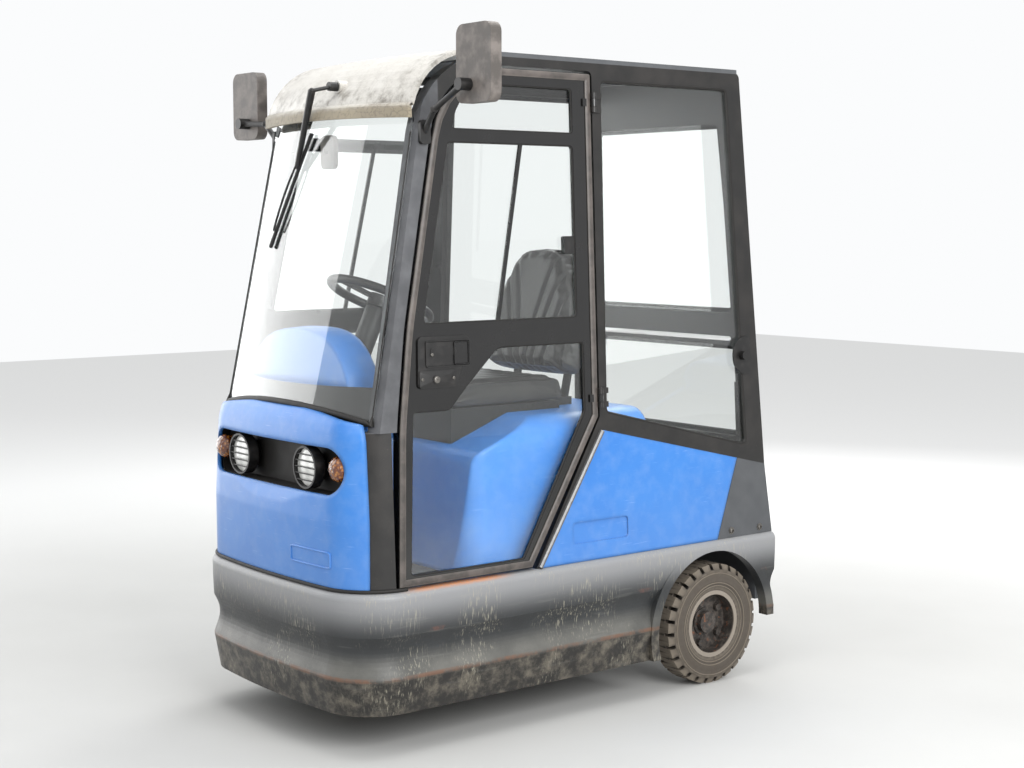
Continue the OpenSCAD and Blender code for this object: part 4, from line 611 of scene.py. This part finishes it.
# Doors
# Black-edged glass bonded in a bent steel tube, in three panes: a low one, a sliding pair and a top light.
# Rubber beads hold the panes, and the latch trays are screwed on.
# Black-backed glass: deep and glossy, with specks of dust
black_glass, tree, shader, at = material("black_backed_glass", Coat_Weight=0.3, Coat_Roughness=0.05)
dust = add(tree, "TexNoise", "Fac", Vector=at, Scale=1 / 0.003, Detail=6.0, Roughness=0.8)
speck = add(tree, "MapRange", "Result", Value=dust, From_Min=0.66, From_Max=0.76, To_Max=0.35)
add(tree, "Mix", "Result", data_type="RGBA", Factor=speck, A="#0C0B0B", B="#77726A", to=shader["Base Color"])
wiped = add(tree, "TexNoise", "Fac", Vector=at, Scale=1 / 0.08, Detail=4.0)
add(tree, "MapRange", "Result", Value=wiped, To_Min=0.12, To_Max=0.36, to=shader["Roughness"])
dress(black_glass, "door_left", "door_right")

# Tube paint: sprayed black, worn brown and dull, and pale along its edges
worn_tube, tree, shader, at = material("worn_brown_tube_paint")
smear = add(tree, "TexNoise", "Fac", Vector=at, Scale=1 / 0.05, Detail=6.0, Roughness=0.65)
tone = add(tree, "MapRange", "Result", **eased, Value=smear, From_Min=0.35, From_Max=0.70)
paint = add(tree, "Mix", "Result", data_type="RGBA", Factor=tone, A="#26211F", B="#524A46")
edge = add(tree, "NewGeometry", "Pointiness")
edge = add(tree, "MapRange", "Result", Value=edge, From_Min=0.52, From_Max=0.60, To_Max=0.3)
add(tree, "Mix", "Result", data_type="RGBA", Factor=edge, A=paint, B="#9A948D", to=shader["Base Color"])
add(tree, "MapRange", "Result", Value=smear, To_Min=0.30, To_Max=0.55, to=shader["Roughness"])
pits = add(tree, "TexNoise", "Fac", Vector=at, Scale=1 / 0.004, Detail=4.0)
add(tree, "Bump", Height=pits, Distance=0.0002, to=shader["Normal"])

door_edge = [(0.222, 0.502, 0.004), (0.731, 0.502, 0.004), (0.713, 0.972, 1.2), (0.677, 1.262, 1.2),
             (0.520, 2.048, 0.27), (-0.066, 2.048, 0.012), (-0.066, 0.957, 0.004)]
# Inset from the door's edge and height off its face, round the tube
tube_section = [(0.006, -0.002), (0.006, 0.003), (0.010, 0.006), (0.021, 0.006), (0.027, 0.003),
                (0.027, -0.002), (0.006, -0.002)]
low_pane = [(0.254, 0.535, 0.014), (0.682, 0.535, 0.014), (0.658, 1.020, 0.014), (0.522, 1.020, 0.030),
            (0.462, 1.082, 0.060), (0.335, 1.199, 0.060), (-0.010, 1.199, 0.014), (-0.010, 0.978, 0.020)]
high_pane = [(0.014, 1.277, 0.016), (0.612, 1.277, 0.016), (0.503, 1.817, 0.016), (0.014, 1.817, 0.016)]
top_pane = [(0.014, 1.853, 0.012), (0.487, 1.853, 0.012), (0.452, 1.994, 0.150), (0.014, 1.994, 0.012)]
# Latch fittings: the handle's tray with its finger pocket, and the lock's plate
handle_tray = [(0.447, 1.148, 0.008), (0.611, 1.148, 0.008), (0.611, 1.228, 0.008), (0.447, 1.228, 0.008)]
finger_pocket = [(0.452, 1.153, 0.005), (0.508, 1.153, 0.005), (0.508, 1.223, 0.005), (0.452, 1.223, 0.005)]
lock_plate = [(0.502, 1.088, 0.008), (0.636, 1.088, 0.008), (0.636, 1.140, 0.008), (0.502, 1.140, 0.008)]
door_face, draft, pane_bead_r = 0.005, 0.002, 0.0035


def dish(corners, sign, rim, lift, floor):
    """A closed tray on the door: its outline's back, rim and inset floor, shut by a point at each end."""
    rows = [(0.0, 0.0), (0.0, lift), (rim, lift), (rim + draft, floor)]
    rings = [on_side(*rounded(corners, inset).T, -door_face - height, sign) for inset, height in rows]
    ends = [np.broadcast_to(ring.mean(0), ring.shape) for ring in (rings[0], rings[-1])]
    return np.stack([ends[0], *rings, ends[1]])


screw = [(0.0, -0.001), (0.0055, -0.001), (0.0055, 0.0008), (0.0045, 0.0022), (0.0022, 0.0026),
         (0.0020, 0.0012), (0.0, 0.0012)]
key = [(0.0, 0.0), (0.0105, 0.0), (0.0105, 0.002), (0.009, 0.003), (0.0028, 0.003), (0.0024, 0.001),
       (0.0, 0.001)]
# Each screw's x, height up the side and depth in it
screw_places = np.array(((0.512, 1.114, -0.0095), (0.626, 1.114, -0.0095), (0.588, 1.186, -0.008)))
key_place = np.array(((0.575, 1.112, -0.012),))
for side, sign in (("left", 1), ("right", -1)):
    door = "door_" + side
    rings = [on_side(*rounded(door_edge, inset).T, -lift, sign) for inset, lift in tube_section]
    piece(door + "_tube", np.stack(rings), worn_tube, door)
    for name, pane in (("low", low_pane), ("high", high_pane), ("top", top_pane)):
        bead = tube(on_side(*rounded(pane, 0.001).T, door_face, sign), pane_bead_r, 8, True)
        piece(f"{door}_{name}_bead", bead, black_rubber, door)
    for name, tray, mat in (("_handle_tray", dish(handle_tray, sign, 0.003, 0.0045, 0.0015), black),
                            ("_finger_pocket", dish(finger_pocket, sign, 0.002, 0.006, 0.002), black_glass),
                            ("_lock_plate", dish(lock_plate, sign, 0.004, 0.0035, 0.0045), black)):
        piece(door + name, tray, mat, door)
    for name, profile, places in (("_screws", screw, screw_places), ("_key_barrel", key, key_place)):
        heads = turned(profile, on_side(*places.T, sign), side_normal * (1, sign, 1))
        piece(door + name, heads, zinc, door)

# Roof
# A flat steel roof sheet, painted grey and screwed to the cab's rails.
# The cap over the windscreen is laid up in glass fibre, and its cream gel coat is crazed and grimy.
# Sheet paint: rolled on, so matt and cloudy
sheet_paint, tree, shader, at = material("weathered_roof_paint")
cloud = add(tree, "TexNoise", "Fac", Vector=at, Scale=1 / 0.09, Detail=6.0, Roughness=0.65)
add(tree, "Mix", "Result", data_type="RGBA", Factor=cloud, A="#3A3C3F", B="#5E6063", to=shader["Base Color"])
add(tree, "MapRange", "Result", Value=cloud, To_Min=0.35, To_Max=0.6, to=shader["Roughness"])
dress(sheet_paint, "roof_panel")

# Gel coat: cream-white, crazed in a net of fine cracks, with a browner weathered lip
gel, tree, shader, at = material("crazed_gel_coat")
y, z = (add(tree, "SeparateXYZ", axis, Vector=at) for axis in "YZ")
cloud = add(tree, "TexNoise", "Fac", Vector=at, Scale=1 / 0.12, Detail=5.0)
coat = add(tree, "Mix", "Result", data_type="RGBA", Factor=cloud, A="#B4B0A8", B="#CFCDC8")
grime = add(tree, "TexNoise", "Fac", Vector=at, Scale=1 / 0.05, Detail=7.0, Roughness=0.7)
grime = add(tree, "MapRange", "Result", **eased, Value=grime, From_Min=0.42, From_Max=0.72)
brow = add(tree, "MapRange", "Result", **eased, Value=z, From_Min=2.06, From_Max=1.92)
sides = add(tree, "Math", operation="ABSOLUTE", Value=y)
sides = add(tree, "MapRange", "Result", **eased, Value=sides, From_Min=0.22, From_Max=0.42)
rim = add(tree, "Math", operation="MAXIMUM", Value=brow, Value_001=sides)
grime = add(tree, "Math", operation="MULTIPLY", Value=grime, Value_001=rim)
coat = add(tree, "Mix", "Result", data_type="RGBA", Factor=grime, A=coat, B="#6B655C")
warp = add(tree, "TexNoise", "Color", Vector=at, Scale=1 / 0.02, Detail=3.0)
warp = add(tree, "Mix", "Result", data_type="RGBA", blend_type="LINEAR_LIGHT", Factor=0.02, A=at, B=warp)
craze = add(tree, "TexVoronoi", "Distance", feature="DISTANCE_TO_EDGE", Vector=warp, Scale=1 / 0.028)
craze = add(tree, "MapRange", "Result", Value=craze, From_Min=0.06, From_Max=0.0)
lip = add(tree, "MapRange", "Result", **eased, Value=z, From_Min=1.935, From_Max=1.905)
worn = add(tree, "Mix", "Result", data_type="RGBA", Factor=cloud, A="#7E7567", B="#A0967F")
coat = add(tree, "Mix", "Result", data_type="RGBA", Factor=lip, A=coat, B=worn)
crack = add(tree, "MapRange", "Result", Value=lip, To_Min=0.18, To_Max=0.75)
crack = add(tree, "Math", operation="MULTIPLY", Value=craze, Value_001=crack)
add(tree, "Mix", "Result", data_type="RGBA", Factor=crack, A=coat, B="#6E6557", to=shader["Base Color"])
add(tree, "MapRange", "Result", Value=lip, To_Min=0.34, To_Max=0.6, to=shader["Roughness"])
add(tree, "Bump", Height=crack, Distance=0.0008, invert=True, to=shader["Normal"])
dress(gel, "roof_cap")

# Mirrors and wipers
# Moulded mirror heads clamped on tube arms, and a small mirror inside the windscreen.
# The front wiper's rubber blade hangs from a sprung bow on a covered arm.
# ABS: once black, mottled grey-brown by the sun, with a fine grain
mottled, tree, shader, at = material("sun_mottled_abs")
cloud = add(tree, "TexNoise", "Fac", Vector=at, Scale=1 / 0.055, Detail=5.0, Roughness=0.6)
tone = add(tree, "MapRange", "Result", **eased, Value=cloud, From_Min=0.36, From_Max=0.66)
add(tree, "Mix", "Result", data_type="RGBA", Factor=tone, A="#4C4743", B="#736C67", to=shader["Base Color"])
add(tree, "MapRange", "Result", Value=cloud, To_Min=0.45, To_Max=0.65, to=shader["Roughness"])
grain = add(tree, "TexNoise", "Fac", Vector=at, Scale=1 / 0.002, Detail=3.0)
add(tree, "Bump", Height=grain, Distance=0.00008, to=shader["Normal"])
dress(mottled, "mirror_heads", "inside_mirror")
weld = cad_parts["mirror_heads"].modifiers.new("weld", "WELD")
weld.merge_threshold = 1e-5
round_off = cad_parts["mirror_heads"].modifiers.new("moulded_edge", "BEVEL")
round_off.width, round_off.segments, round_off.limit_method = 0.012, 4, "ANGLE"

# Silvered glass: a sharp mirror under faint smudges
silver, tree, shader, at = material("mirror_glass", Metallic=1.0, Base_Color="#D8DCDD")
smudge = add(tree, "TexNoise", "Fac", Vector=at, Scale=1 / 0.03, Detail=4.0)
add(tree, "MapRange", "Result", Value=smudge, To_Min=0.02, To_Max=0.10, to=shader["Roughness"])
y, z = oblong(0.072, 0.101, 6, 64)
# The pane's section, as share of its outline and place before or behind the head's middle
pane = [np.stack([x + 0 * y, share * y, share * z], -1)
        for share, x in ((0.0, -0.0215), (0.97, -0.0215), (1.0, -0.0195), (1.0, -0.017), (0.0, -0.017))]
for side, middle in (("left", (0.548, 0.625, 2.026)), ("right", (0.575, -0.625, 1.966))):
    piece("mirror_glass_" + side, np.stack(pane) + middle, silver, "chassis")

blade = np.linspace(0, 1, 21)[:, None] * np.array((-0.165, -0.355)) + (-0.065, 1.850)
spring = 0.010 + 0.016 * np.sin(np.pi * np.linspace(0, 1, 21)) ** 0.8


def off_glass(points, off):
    """Width and height on the windscreen to points set off it along +X."""
    y, z = points.T
    bow = screen_r - np.sqrt(screen_r ** 2 - y ** 2)
    return np.stack([screen_x - (z - screen_z) * np.tan(lean) - bow / np.cos(lean) + off, y, z], -1)


wiper_root, blade_r = np.array((0.722, 0.010, 1.976)), 0.0035
wiper_tip = off_glass(np.array(((-0.1145, 1.7435),)), 0.016)[0]
arm = wiper_root + np.linspace(0, 1, 12)[:, None] * (wiper_tip - wiper_root)
taper = np.linspace(0.012, 0.008, 12)[:, None, None]
piece("wiper_arm_cover", tube(arm, taper, 10), black, "chassis")
piece("wiper_bow", tube(off_glass(blade, spring)[3:-3], blade_r, 8), black, "chassis")
piece("wiper_rubber", tube(off_glass(blade, 0.0045), blade_r, 6), black_rubber, "chassis")

# Seat
# Foam cushion and backrest under black vinyl, bolted to a pan on the hood.
# The cover is pulled in along sewn channels, straight on the cushion and in a tulip on the back.
# Vinyl: embossed with a fine grain, so a soft black sheen, worn smoother in clouds
vinyl, tree, shader, at = material("grained_black_vinyl")
cell = add(tree, "TexVoronoi", "Distance", Vector=at, Scale=1 / 0.003)
wear = add(tree, "TexNoise", "Fac", Vector=at, Scale=1 / 0.06, Detail=5.0)
add(tree, "Mix", "Result", data_type="RGBA", Factor=wear, A="#131211", B="#2C2927", to=shader["Base Color"])
add(tree, "MapRange", "Result", Value=wear, To_Min=0.36, To_Max=0.56, to=shader["Roughness"])
add(tree, "Bump", Height=cell, Distance=0.00015, to=shader["Normal"])


def channel(gap, width):
    """Depth of a sewn channel at a distance from its seam: exp(-(gap / width)^2)."""
    return np.exp(-(gap / width) ** 2)


pad_foot, seat_rear, tilt, back_h = 1.077, -0.100, np.radians(12), 0.43
# Room left for the swell, the remesh's grain, a channel's width and the steps the cover takes to settle
swell, voxel, seam_w, steps = 0.012, 0.006, 0.007, 20
for name, sink in (("seat_cushion", 0.007), ("seat_back", 0.009)):
    soft = bpy.data.objects.new(name + "_pad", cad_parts[name].data.copy())
    bpy.context.scene.collection.objects.link(soft)
    shape = bmesh.new()
    shape.from_mesh(soft.data)
    bmesh.ops.remove_doubles(shape, verts=shape.verts, dist=1e-5)
    shape.to_mesh(soft.data)
    shape.free()
    points = np.empty(3 * len(soft.data.vertices))
    soft.data.vertices.foreach_get("co", points)
    points = points.reshape(-1, 3)
    middle = (points.min(0) + points.max(0)) / 2
    size = points.max(0) - points.min(0)
    soft.data.vertices.foreach_set("co", (middle + (points - middle) * (1 - swell / size)).ravel())
    remesh = soft.modifiers.new("voxels", "REMESH")
    remesh.mode, remesh.voxel_size = "VOXEL", voxel
    shaped = bpy.data.meshes.new_from_object(soft.evaluated_get(bpy.context.evaluated_depsgraph_get()))
    soft.modifiers.clear()
    soft.data = shaped
    start = np.empty(3 * len(shaped.vertices))
    shaped.vertices.foreach_get("co", start)
    start = start.reshape(-1, 3)
    # Height up the backrest and distance behind its front, or the same for the cushion's top
    if name == "seat_back":
        s = (start[:, 0] - seat_rear) * -np.sin(tilt) + (start[:, 2] - pad_foot) * np.cos(tilt)
        depth = -(start[:, 0] - seat_rear) * np.cos(tilt) - (start[:, 2] - pad_foot) * np.sin(tilt)
        held = depth > 0.080
    else:
        s, depth = start[:, 0], start[:, 2].max() - start[:, 2]
        held = depth > 0.060
    pins = soft.vertex_groups.new(name="held")
    pins.add(np.flatnonzero(held).tolist(), 1.0, "REPLACE")
    cloth = soft.modifiers.new("vinyl_cover", "CLOTH")
    cloth.settings.vertex_group_mass = "held"
    cloth.settings.use_pressure = True
    cloth.settings.uniform_pressure_force = 4.0
    cloth.settings.effector_weights.gravity = 0.0
    for step in range(1, steps + 1):
        bpy.context.scene.frame_set(step)
    blown = soft.evaluated_get(bpy.context.evaluated_depsgraph_get()).to_mesh()
    settled = np.empty(start.size)
    blown.vertices.foreach_get("co", settled)
    move = settled.reshape(-1, 3) - start
    travel = np.linalg.norm(move, axis=1, keepdims=True)
    start = start + move * np.minimum(1.0, swell / np.maximum(travel, 1e-9))
    soft.modifiers.clear()
    bpy.context.scene.frame_set(1)
    y = np.abs(start[:, 1])
    if name == "seat_back":
        u = np.clip(s / back_h, 0, 1)
        seams = [0.016 + 0.10 * u ** 1.5, 0.050 + 0.13 * u ** 1.3, 0.100 + 0.12 * u,
                 0.188 - 0.05 * np.maximum(u - 0.6, 0)]
        pull, dip = (depth < 0.05) * sink, np.array((1.0, 0.0, 0.2))
    else:
        seams = [0.028 + 0 * y, 0.085 + 0 * y, 0.142 + 0 * y, 0.196 + 0 * y]
        pull, dip = (depth < 0.04) * sink, np.array((0.0, 0.0, 1.0))
    fold = np.max([channel(y - seam, seam_w) for seam in seams], axis=0) * pull
    shaped.vertices.foreach_set("co", (start - fold[:, None] * dip).ravel())
    shaped.shade_smooth()
    shaped.materials.clear()
    shaped.materials.append(vinyl)
    smooth = soft.modifiers.new("smooth", "SUBSURF")
    smooth.levels = smooth.render_levels = 1
    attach(soft, "chassis")
    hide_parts(name)
